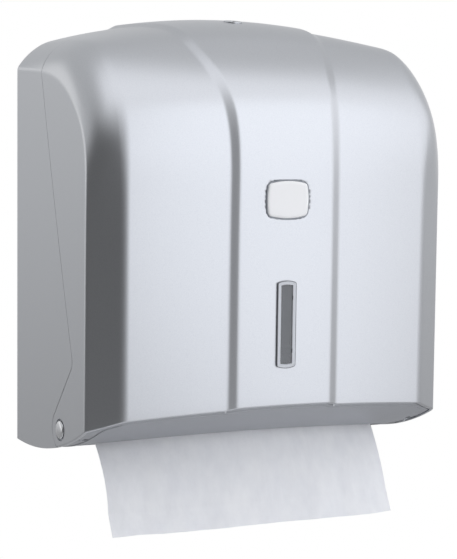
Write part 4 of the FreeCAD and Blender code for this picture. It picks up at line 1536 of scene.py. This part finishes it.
@dataclass(frozen=True)
class HingePin:
    """Domed hinge pin, pushed in from the side and held by a spring clip."""

    head_radius: float = 6.0
    head_height: float = 1.8
    head_sink: float = 1.2
    journal_radius: float = 4.0
    journal_end: float = 4.2
    shank_radius: float = 3.0
    groove_depth: float = 0.8
    clip_gap: float = 0.8
    tip_chamfer: float = 0.6
    edge: float = 0.2
    dome_steps: int = 10
    round_steps: int = 40

    def build(self, side: int, name: str, node: str) -> None:
        """Make one pin and place it.

        Args:
            side: Minus one on the left, one on the right.
            name: Name of the piece.
            node: CAD node that it stands for.
        """
        low, high = (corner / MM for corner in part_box(node))
        length = high.x - low.x
        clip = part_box("right_pin_clip")[0].x / MM - FORM.half_width
        tip = self.head_height - length
        profile = []
        for step in range(self.dome_steps + 1):
            angle = math.pi / 2 * step / self.dome_steps
            profile.append((self.head_radius * math.sin(angle), self.head_height * math.cos(angle)))
        groove = self.shank_radius - self.groove_depth
        profile += [(self.head_radius, -self.head_sink), (self.journal_radius, -self.head_sink),
                    (self.journal_radius, -self.journal_end), (self.shank_radius, -self.journal_end),
                    (self.shank_radius, clip + self.clip_gap), (groove, clip + self.clip_gap),
                    (groove, clip), (self.shank_radius, clip),
                    (self.shank_radius, tip + self.tip_chamfer),
                    (self.shank_radius - self.tip_chamfer, tip), (0, tip)]
        bm = bmesh.new()
        revolved(bm, profile, self.round_steps)
        turn = Matrix.Rotation(math.radians(90 * side), 4, "Y")
        centre = Matrix.Translation((side * FORM.half_width, *JOINT.pivot))
        bmesh.ops.transform(bm, matrix=centre @ turn, verts=bm.verts)
        place(shade(soften(to_object(name, bm), self.edge, angle=50)), Finish.PIN, Body.HOUSING, node)


@dataclass(frozen=True)
class PanScrew:
    """Pan-head screw with a cross recess and a rolled thread."""

    head_radius: float = 2.75
    head_height: float = 1.8
    shank_radius: float = 1.5
    root_radius: float = 1.15
    pitch: float = 0.9
    crown: tuple[tuple[float, float], ...] = ((0.0, 0.0), (0.55, 0.12), (0.85, 0.5), (1.0, 1.1))
    recess: tuple[float, float, float] = (3.1, 0.75, 2.2)
    recess_taper: tuple[float, float, float] = (0.35, 0.6, 1.0)
    round_steps: int = 24
    turn: float = 0.9

    def template(self, length: float) -> Piece:
        """One screw along +Z, its head's outer face at z = 0.

        Args:
            length: Length over all.

        Returns:
            The screw.
        """
        profile = [(self.head_radius * share, depth) for share, depth in self.crown]
        profile += [(self.head_radius, self.head_height), (self.root_radius, self.head_height)]
        height = self.head_height + self.pitch / 2
        while height < length - self.pitch:
            profile += [(self.root_radius, height), (self.shank_radius, height + self.pitch / 4),
                        (self.root_radius, height + self.pitch / 2)]
            height += self.pitch
        profile += [(self.root_radius, length - self.pitch / 2), (0, length)]
        bm = bmesh.new()
        revolved(bm, profile, self.round_steps)
        screw = to_object("screw", bm)
        for turn in (0, 90):
            bm = bmesh.new()
            bmesh.ops.create_cube(bm, size=1.0)
            bmesh.ops.scale(bm, vec=self.recess, verts=bm.verts)
            bmesh.ops.scale(bm, vec=self.recess_taper, verts=[vert for vert in bm.verts if vert.co.z > 0])
            bmesh.ops.rotate(bm, cent=(0, 0, 0), matrix=Matrix.Rotation(math.radians(turn), 3, "Z"),
                             verts=bm.verts)
            combine(screw, to_object("recess", bm), "DIFFERENCE")
        return screw

    def build(self, name: str, node: str, axis: int) -> None:
        """Make a node's screws and place them.

        Args:
            name: Name of the piece.
            node: CAD node of the screws.
            axis: Axis that the screws point along, 1 for Y or 2 for Z.
        """
        spots = islands(node)
        screw = self.template(spots[0][1][axis] - spots[0][0][axis])
        turn = Matrix.Rotation(math.radians(-90), 4, "X") if axis == 1 else Matrix.Identity(4)
        bm = bmesh.new()
        for index, (low, high) in enumerate(spots):
            head = (low + high) / 2
            head[axis] = low[axis]
            spin = Matrix.Rotation(self.turn * index, 4, "Z")
            copy = screw.data.copy()
            copy.transform(Matrix.Translation(head) @ turn @ spin)
            bm.from_mesh(copy)
        bpy.data.objects.remove(screw)
        place(shade(to_object(name, bm), angle=28), Finish.ZINC, Body.HOUSING, node)


@dataclass(frozen=True)
class Latch:
    """Latch under the top: bracket, sprung slide, spring and the cover's catch."""

    y: float = -61.0
    floor: float = 107.0
    spring_radius: float = 4.0
    wire: float = 0.8
    wire_steps: int = 10
    turns: int = 5
    gap: float = 0.05
    coil_steps: int = 22
    travel: float = 4.0
    bracket_edge: float = 0.35
    slide_edge: float = 0.4
    catch_edge: float = 0.2
    bush_edge: float = 0.15

    def build(self) -> None:
        """Make the latch's pieces and place them."""
        carried("latch_frame", "latch_bracket", self.bracket_edge, Finish.GREY, Body.HOUSING)
        carried("latch_block", "latch_slide", self.slide_edge, Finish.WHITE, Body.LATCH)
        carried("catch", "cover_catch", self.catch_edge, Finish.GREY, Body.COVER)
        carried("key_ring", "key_bush", self.bush_edge, Finish.SILVER, Body.COVER)
        self.spring()

    def spring(self) -> None:
        """Make the coil spring and place it."""
        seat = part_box("latch_slide")[0].z / MM
        low = self.floor + self.wire / 2
        high = seat - self.gap - self.wire / 2
        bm = bmesh.new()
        middle = self.spring_radius - self.wire / 2
        turn = Matrix.Translation((middle, 0, 0)) @ Matrix.Rotation(math.radians(90), 4, "X")
        bmesh.ops.create_circle(bm, cap_ends=True, segments=self.wire_steps, radius=self.wire / 2,
                                matrix=turn)
        steps = self.turns * self.coil_steps
        bmesh.ops.spin(bm, geom=everything(bm), cent=(0, 0, 0), axis=(0, 0, 1),
                       angle=self.turns * 2 * math.pi, steps=steps, dvec=(0, 0, (high - low) / steps))
        bmesh.ops.remove_doubles(bm, verts=bm.verts, dist=WELD)
        bmesh.ops.recalc_face_normals(bm, faces=bm.faces)
        bmesh.ops.translate(bm, vec=(0, self.y, low), verts=bm.verts)
        coil = shade(to_object("spring", bm), angle=60)
        spring = place(coil, Finish.SPRING, Body.HOUSING, "latch_spring")
        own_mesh(spring)


@dataclass(frozen=True)
class TowelStack:
    """Folded towels on the tray, folded in turn at the front and at the back."""

    notch: float = 0.16
    crotch: float = 2.0
    shift: float = 0.6
    side_gap: float = 0.1
    ply_gap: float = 0.02
    seed: int = 7
    fold_steps: int = 6

    def build(self) -> None:
        """Make the stack and place it."""
        chance = random.Random(self.seed)
        whole = bmesh.new()
        for index, (low, high) in enumerate(sorted(islands("paper_stack"), key=lambda box: box[0].z)):
            inset_x = chance.uniform(self.side_gap, self.shift)
            inset_y = chance.uniform(0, self.shift)
            open_y = chance.uniform(0, self.shift)
            if index % 2:
                way = -1
                y_fold, y_open = high.y - inset_y, low.y + open_y
            else:
                way = 1
                y_fold, y_open = low.y + inset_y, high.y - open_y
            radius = (high.z - low.z) / 2 - self.ply_gap
            middle = (low.z + high.z) / 2
            outline = []
            for step in range(self.fold_steps + 1):
                angle = math.pi * (0.5 + step / self.fold_steps)
                outline.append((y_fold + way * (radius + radius * math.cos(angle)),
                                middle + radius * math.sin(angle)))
            outline += [(y_open, middle - radius), (y_open, middle - self.notch / 2),
                        (y_fold + way * (radius + self.crotch), middle),
                        (y_open, middle + self.notch / 2), (y_open, middle + radius)]
            x = low.x + inset_x
            bm = bmesh.new()
            prism(bm, [Vector((x, y, z)) for y, z in outline], Vector((high.x - low.x - 2 * inset_x, 0, 0)))
            leaf = to_object("leaf", bm)
            whole.from_mesh(leaf.data)
            bpy.data.objects.remove(leaf)
        place(shade(to_object("towel_stack", whole)), Finish.PAPER, Body.HOUSING, "paper_stack")


@dataclass(frozen=True)
class HangingTowel:
    """Leaf that hangs out of the throat, bowed by the lip and nearly straight at its lower edge."""

    half_width: float = 105.5
    top_z: float = -102.6
    throat: tuple[float, float] = (-88.0, -124.0)
    slope: float = 0.527
    bottom: tuple[float, float] = (-105.5, -181.0)
    bow: float = 15.0
    bottom_bow: float = 3.0
    belly: float = 3.3
    belly_skew: float = 1.4
    belly_reach: float = 42.0
    belly_power: float = 0.8
    belly_middle: float = 0.35
    seat: float = 0.3
    thickness: float = 0.35
    edge: float = 0.3
    lip_blend: float = 2.5
    free_reach: float = 40.0
    across: int = 150
    down: int = 60
    ripple: float = 0.55
    # Waves across the leaf, millimetres down it for one wave, and share of the ripple
    waves: tuple[tuple[float, float, float], ...] = ((5.5, 60.0, 1.6), (17.0, 22.0, 0.45))
    hem_waves: float = 3.0
    hem_height: float = 1.3
    seed: float = 4.7
    behind: tuple[float, float, float] = (0.0, 400.0, -140.0)

    def middle(self, z: float) -> tuple[float, float]:
        """Depth of the leaf's middle and its bow at a height.

        Args:
            z: Height.

        Returns:
            Depth and bow.
        """
        fall = (self.throat[1] - z) / (self.throat[1] - self.bottom[1])
        lower = self.throat[0] + (self.bottom[0] - self.throat[0]) * fall
        upper = self.throat[0] + (z - self.throat[1]) * self.slope
        blend = 1 / (1 + math.exp(-(self.throat[1] - z) / self.lip_blend))
        share = min(max(fall, 0.0), 1.0)
        return upper + (lower - upper) * blend, self.bow + (self.bottom_bow - self.bow) * share

    def lean(self, u: float, z: float) -> float:
        """How far the leaf bellies forwards just under the throat, most at its left edge.

        Args:
            u: Place across, from -1 at the left to 1 at the right.
            z: Height.

        Returns:
            The distance.
        """
        share = min(max((self.throat[1] - z) / self.belly_reach, 0.0), 1.0)
        swell = (self.belly - self.belly_skew * u) * math.sin(math.pi * share) ** self.belly_power
        return swell * (self.belly_middle + (1 - self.belly_middle) * u * u)

    def build(self) -> None:
        """Make the leaf and place it."""
        foot = self.bottom[1] + self.edge
        columns = []
        for step in range(self.across + 1):
            u = 2 * step / self.across - 1
            x = u * (self.half_width - self.edge)
            column = []
            for level in range(self.down + 1):
                z = foot + (self.top_z - foot) * level / self.down
                y, bow = self.middle(z)
                free = min(max((self.throat[1] - z) / self.free_reach, 0.0), 1.0)
                dent = sum(share * noise.noise(Vector((u * count, z / length, self.seed)))
                           for count, length, share in self.waves)
                drop = self.hem_height * free * noise.noise(Vector((u * self.hem_waves, 0, self.seed)))
                y += bow * u * u + self.seat + self.ripple * free * dent - self.lean(u, z)
                column.append(Vector((x, y, z + max(drop, 0) * (1 - level / self.down))))
            columns.append(column)
        bm = on_grid(columns)
        outward(bm, Vector(self.behind))
        leaf = to_object("hanging_towel", bm)
        modify(leaf, "SOLIDIFY", thickness=self.thickness, offset=0)
        place(shade(leaf, angle=50), Finish.PAPER, Body.TOWEL, "towel")


@dataclass(frozen=True)
class OutletTray:
    """Bottom tray: a thin skirt follows the inside of the case, and a smooth panel lies within it."""

    gap: float = 0.6
    skirt_lift: float = 0.9
    panel_lift: float = 0.22
    thickness: float = 1.9
    ear_front: float = -97.0
    ear_side: float = 126.4
    ear_slant: float = 1.0
    back: float = -2.9
    panel_rim: float = 1.6
    panel_side: float = 119.1
    panel_back: float = -8.0
    panel_corner: float = 10.0
    corner_steps: int = 6
    throat_side: float = 116.3
    throat_rear: float = -51.7
    throat_front: float = -91.3
    throat_bow: float = 400.0
    throat_corner: float = 5.0
    throat_steps: int = 24
    screw_x: float = 122.2
    screw_y: tuple[float, float] = (-14.0, -93.0)
    screw_room: float = 3.15
    screw_top: float = -90.0
    tall: float = 100.0
    edge: float = 0.35
    cell: tuple[float, float] = (8.0, 2.0)
    cell_shift: float = 0.37

    def front(self, inset: float) -> Row:
        """Inside of the case at the underside, for its right half.

        Args:
            inset: Distance inwards from the outer form.

        Returns:
            Points from the side to the middle.
        """
        return [FORM.point(station, FORM.crossing(station, inset, UNDERSIDE.above), inset)
                for station in FORM.stations()]

    def rounded(self, corners: Row, radius: float) -> Row:
        """Round off a corner of an outline.

        Args:
            corners: The corner between its two neighbours.
            radius: Reach of the rounding.

        Returns:
            Points that take the corner's place.
        """
        before, corner, after = corners
        controls = [corner + (before - corner).normalized() * radius, corner,
                    corner + (after - corner).normalized() * radius]
        return [bezier(controls, step / self.corner_steps) for step in range(self.corner_steps + 1)]

    def sole(self, name: str, half: Row, lift: float) -> Piece:
        """Thin plate curved like the underside.

        Args:
            name: Name of the object.
            half: Outline of its right half in plan, from the back to the middle of the front.
            lift: Height above the case's foot.

        Returns:
            The plate.
        """
        right = [Vector((corner.x, corner.y, 0)) for corner in half]
        left = [Vector((-corner.x, corner.y, 0)) for corner in reversed(half[:-1])]
        bm = bmesh.new()
        prism(bm, right + left, Vector((0, 0, self.thickness)))
        rim = [side for side in bm.edges if max(abs(vert.co.z) for vert in side.verts) < WELD]
        rounded_off(bm, rim, self.edge, segments=3)
        for axis, extent in ((0, FORM.half_width), (1, FORM.centre.depth)):
            count = math.ceil(extent / self.cell[axis])
            for step in range(-count, count + 1):
                normal = Vector((axis == 0, axis == 1, 0))
                bmesh.ops.bisect_plane(bm, geom=everything(bm), plane_no=normal,
                                       plane_co=normal * (step + self.cell_shift) * self.cell[axis])
        for vert in bm.verts:
            vert.co.z += UNDERSIDE.height(vert.co.y) + lift
        return combine(to_object(name, bm), self.mouth(), "DIFFERENCE")

    def mouth(self) -> Piece:
        """Throat, straight at the back and bowed at the front.

        Returns:
            Body that cuts it.
        """
        centre_y = self.throat_front + self.throat_bow
        ring = []
        for step in range(self.throat_steps + 1):
            x = self.throat_side * (1 - 2 * step / self.throat_steps)
            ring.append(Vector((x, centre_y - math.sqrt(self.throat_bow ** 2 - x ** 2), FORM.bottom)))
        ring += [Vector((side * self.throat_side, self.throat_rear, FORM.bottom)) for side in (-1, 1)]
        outline = []
        for index, corner in enumerate(ring):
            if 0 < index < self.throat_steps:
                outline.append(corner)
            else:
                around = [ring[index - 1], corner, ring[(index + 1) % len(ring)]]
                outline += self.rounded(around, self.throat_corner)
        bm = bmesh.new()
        prism(bm, outline, Vector((0, 0, self.tall)))
        return to_object("mouth", bm)

    def build(self) -> None:
        """Make the tray and place it."""
        inside = self.front(SHELL_WALL + self.gap)
        ear = [(self.ear_side, self.back), (self.ear_side, self.ear_front + self.ear_slant),
               (inside[0].x, self.ear_front)]
        skirt = self.sole("skirt", [Vector((x, y, 0)) for x, y in ear] + inside, self.skirt_lift)
        for x in (-self.screw_x, self.screw_x):
            for y in self.screw_y:
                ends = [Vector((x, y, z)) for z in (FORM.bottom, self.screw_top)]
                combine(skirt, cylinder("hole", self.screw_room, *ends, steps=32), "DIFFERENCE")
        within = self.front(SHELL_WALL + self.gap + self.panel_rim)
        index = next(place for place, point in enumerate(within) if point.x < self.panel_side)
        share = (within[index - 1].x - self.panel_side) / (within[index - 1].x - within[index].x)
        corner = within[index - 1].lerp(within[index], share)
        rear = Vector((self.panel_side, self.panel_back, corner.z))
        near = [point for point in within if point.x < self.panel_side - self.panel_corner]
        turn = self.rounded([rear, corner, near[0]], self.panel_corner)
        panel = self.sole("panel", [rear] + turn + near, self.panel_lift)
        piece = soften(node_copy("tray", "outlet_tray"), self.edge)
        combine(combine(piece, skirt, "UNION"), panel, "UNION")
        place(shade(piece), Finish.TRAY, Body.HOUSING, "outlet_tray")


@dataclass(frozen=True)
class Fittings:
    """Paper guides, pin clips and all screws."""

    guide_edge: float = 0.3
    clip_edge: float = 0.1

    def build(self) -> None:
        """Make the fittings and place them."""
        for side in ("left", "right"):
            carried(f"{side}_paper_guide", f"{side}_guide", self.guide_edge, Finish.GREY, Body.HOUSING)
            carried(f"{side}_clip", f"{side}_pin_clip", self.clip_edge, Finish.SPRING, Body.HOUSING)
        screw = PanScrew()
        screw.build("tray_fixings", "tray_screws", 2)
        screw.build("guide_fixings", "guide_screws", 1)
        screw.build("bracket_fixings", "bracket_screws", 1)


# Studio


def direction(azimuth: float, elevation: float) -> Vector:
    """Unit vector from the object, at an azimuth from the front and an elevation, in degrees."""
    turn, rise = math.radians(azimuth), math.radians(elevation)
    return Vector((math.sin(turn) * math.cos(rise), -math.cos(turn) * math.cos(rise), math.sin(rise)))


@dataclass(frozen=True)
class Panel:
    """A soft box or a dark flag of the light tent: where it stands, its half sizes and its level."""

    azimuth: float
    elevation: float
    half_width: float
    half_height: float
    softness: float
    level: float
    tint: str = "#ffffff"


@dataclass(frozen=True)
class Studio:
    """Soft light tent, pale floor and camera."""

    floor_z: float = -1.15
    floor_radius: float = 1.3
    floor_fade: float = 0.6
    tent_radius: float = 2.6
    floor_cloud_mm: float = 1000 / 3
    floor_colours: Stops = ((0.0, "#dededf"), (1.0, "#e4e4e5"))
    # Places from the tent's foot to its top, and the cloth's colour there
    cloth: Stops = ((0.35, "#aaaaab"), (0.5, "#d6d7d9"), (0.8, "#d6d7d9"), (0.97, "#d9dadc"))
    background_share: float = 0.6
    camera_at: tuple[float, float, float] = (-0.6306, -1.2700, 0.0856)
    camera_view: tuple[float, float, float] = (0.4601, 0.8845, -0.0772)
    camera_roll: float = 0.48
    focal_pixels: float = 2013.91
    panels: tuple[Panel, ...] = (
        Panel(53.0, 19.0, 23.0, 32.0, 12.0, 1.42, "#fafbff"),
        Panel(6.0, 65.0, 36.0, 19.0, 26.0, 1.42, "#fafbff"),
        Panel(-18.0, -35.0, 52.0, 15.0, 14.0, 1.25, "#fafbff"),
        Panel(-127.0, 9.0, 32.0, 9.0, 9.0, 1.2),
        Panel(138.0, -2.0, 26.0, 16.0, 20.0, 0.95),
        Panel(-47.0, -3.5, 37.5, 27.5, 32.0, 0.08),
        Panel(22.5, 15.0, 21.5, 29.0, 8.0, 1.78, "#f8faff"),
    )

    def world(self) -> None:
        """White background for what sees it directly, in a mirror or through clear plastic."""
        world = bpy.data.worlds.new("white_background")
        bpy.context.scene.world = world
        world.use_nodes = True
        tree = world.node_tree
        tree.nodes.clear()
        path = add_node(tree, "ShaderNodeLightPath")
        clear = path.outputs["Is Camera Ray"]
        for ray in ("Is Glossy Ray", "Is Transmission Ray"):
            clear = add_node(tree, "ShaderNodeMath", {0: clear, 1: path.outputs[ray]}, operation="MAXIMUM")
        level = add_node(tree, "ShaderNodeMapRange", {"Value": clear, "To Min": self.background_share})
        white = add_node(tree, "ShaderNodeBackground", {"Color": linear("#ffffff"), "Strength": level})
        add_node(tree, "ShaderNodeOutputWorld", {"Surface": white})

    def mask(self, tree: Tree, unit: Node, panel: Panel) -> Node:
        """Share of a panel in each direction.

        Args:
            tree: Node tree of the tent.
            unit: Direction from the object.
            panel: The panel.

        Returns:
            Node whose value is one on the panel and falls to nothing past its soft edge.
        """
        ahead = direction(panel.azimuth, panel.elevation)
        right = ahead.cross(Vector((0, 0, 1))).normalized()
        turn = Matrix((right, right.cross(ahead), ahead)).to_euler()
        local = add_node(tree, "ShaderNodeMapping", {"Vector": unit, "Rotation": turn})
        parts = add_node(tree, "ShaderNodeSeparateXYZ", {"Vector": local})
        share = add_node(tree, "ShaderNodeMath", {0: parts.outputs["Z"], 1: 0.0}, operation="GREATER_THAN")
        for axis, half in (("X", panel.half_width), ("Y", panel.half_height)):
            away = add_node(tree, "ShaderNodeMath", {0: parts.outputs[axis]}, operation="ABSOLUTE")
            ends = [min(half + side * panel.softness / 2, 90) for side in (1, -1)]
            edge = add_node(tree, "ShaderNodeMapRange", {"Value": away,
                                                         "From Min": math.sin(math.radians(ends[0])),
                                                         "From Max": math.sin(math.radians(ends[1]))},
                            interpolation_type="SMOOTHSTEP")
            share = add_node(tree, "ShaderNodeMath", {0: share, 1: edge}, operation="MULTIPLY")
        return share

    def tent(self) -> None:
        """Tent round the object, lit from outside in soft areas, and not seen by the camera."""
        bm = bmesh.new()
        bmesh.ops.create_uvsphere(bm, u_segments=32, v_segments=16, radius=self.tent_radius)
        bmesh.ops.reverse_faces(bm, faces=bm.faces)
        tent = to_object("light_tent", bm)
        material, tree, place = new_material("tent_cloth")
        unit = add_node(tree, "ShaderNodeVectorMath", {0: place}, operation="NORMALIZE")
        height = add_node(tree, "ShaderNodeSeparateXYZ", {"Vector": unit}).outputs["Z"]
        share = add_node(tree, "ShaderNodeMapRange", {"Value": height, "From Min": -1.0})
        glow = add_node(tree, "ShaderNodeValToRGB", {"Fac": share}, stops=self.cloth)
        for panel in self.panels:
            lit = tuple(part * panel.level for part in linear(panel.tint)[:3]) + (1.0,)
            glow = add_node(tree, "ShaderNodeMixRGB", {"Fac": self.mask(tree, unit, panel),
                                                       "Color1": glow, "Color2": lit})
        shader = add_node(tree, "ShaderNodeEmission", {"Color": glow, "Strength": 1.0})
        add_node(tree, "ShaderNodeOutputMaterial", {"Surface": shader})
        tent.data.materials.append(material)
        tent.visible_camera = False
        tent.visible_transmission = False

    def floor(self) -> None:
        """Pale floor under the hanging object, which fades into the white background all round."""
        bm = bmesh.new()
        bmesh.ops.create_circle(bm, cap_ends=True, segments=64, radius=self.floor_radius)
        bmesh.ops.translate(bm, vec=(0, 0, self.floor_z), verts=bm.verts)
        floor = to_object("floor", bm)
        material, tree, place = new_material("painted_white_floor")
        cloud = add_node(tree, "ShaderNodeTexNoise", {"Vector": place,
                                                      "Scale": 1 / (self.floor_cloud_mm * MM)})
        tone = add_node(tree, "ShaderNodeValToRGB", {"Fac": cloud}, stops=self.floor_colours)
        paint = add_node(tree, "ShaderNodeBsdfDiffuse", {"Color": tone})
        flat = add_node(tree, "ShaderNodeVectorMath", {0: place, 1: (1.0, 1.0, 0.0)}, operation="MULTIPLY")
        reach = add_node(tree, "ShaderNodeVectorMath", {0: flat}, operation="LENGTH").outputs["Value"]
        fade = add_node(tree, "ShaderNodeMapRange", {"Value": reach,
                                                     "From Min": self.floor_radius - self.floor_fade,
                                                     "From Max": self.floor_radius},
                        interpolation_type="SMOOTHSTEP")
        # Seen from below, the floor is left clear, so that the underside can be looked at
        below = add_node(tree, "ShaderNodeNewGeometry").outputs["Backfacing"]
        gone = add_node(tree, "ShaderNodeMath", {0: fade, 1: below}, operation="MAXIMUM")
        clear = add_node(tree, "ShaderNodeBsdfTransparent")
        shader = add_node(tree, "ShaderNodeMixShader", {0: gone, 1: paint, 2: clear})
        add_node(tree, "ShaderNodeOutputMaterial", {"Surface": shader})
        floor.data.materials.append(material)

    def camera(self) -> None:
        """Camera at the photograph's viewpoint."""
        ahead = Vector(self.camera_view).normalized()
        right = ahead.cross(Vector((0, 0, 1))).normalized()
        up = right.cross(ahead)
        roll = math.radians(self.camera_roll)
        right, up = (right * math.cos(roll) + up * math.sin(roll),
                     up * math.cos(roll) - right * math.sin(roll))
        data = bpy.data.cameras.new("camera")
        data.sensor_width = SENSOR
        data.lens = self.focal_pixels / IMAGE_HEIGHT * SENSOR
        camera = bpy.data.objects.new("camera", data)
        turn = Matrix((right, up, -ahead)).transposed().to_4x4()
        camera.matrix_world = Matrix.Translation(self.camera_at) @ turn
        bpy.context.scene.collection.objects.link(camera)
        bpy.context.scene.camera = camera

    def build(self) -> None:
        """Set up light, floor and camera."""
        bpy.context.scene.view_settings.view_transform = "Standard"
        self.world()
        self.tent()
        self.floor()
        self.camera()


def main() -> None:
    """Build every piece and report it."""
    logging.basicConfig(level=logging.INFO, format="%(name)s: %(message)s")
    Studio().build()
    RearHousing().build()
    FrontCover().build()
    WindowLens().build()
    Badge().build()
    for side, name in ((-1, "left"), (1, "right")):
        HingePin().build(side, f"{name}_pin", f"{name}_hinge_pin")
    Latch().build()
    TowelStack().build()
    HangingTowel().build()
    OutletTray().build()
    Fittings().build()


if __name__ == "__main__":
    main()
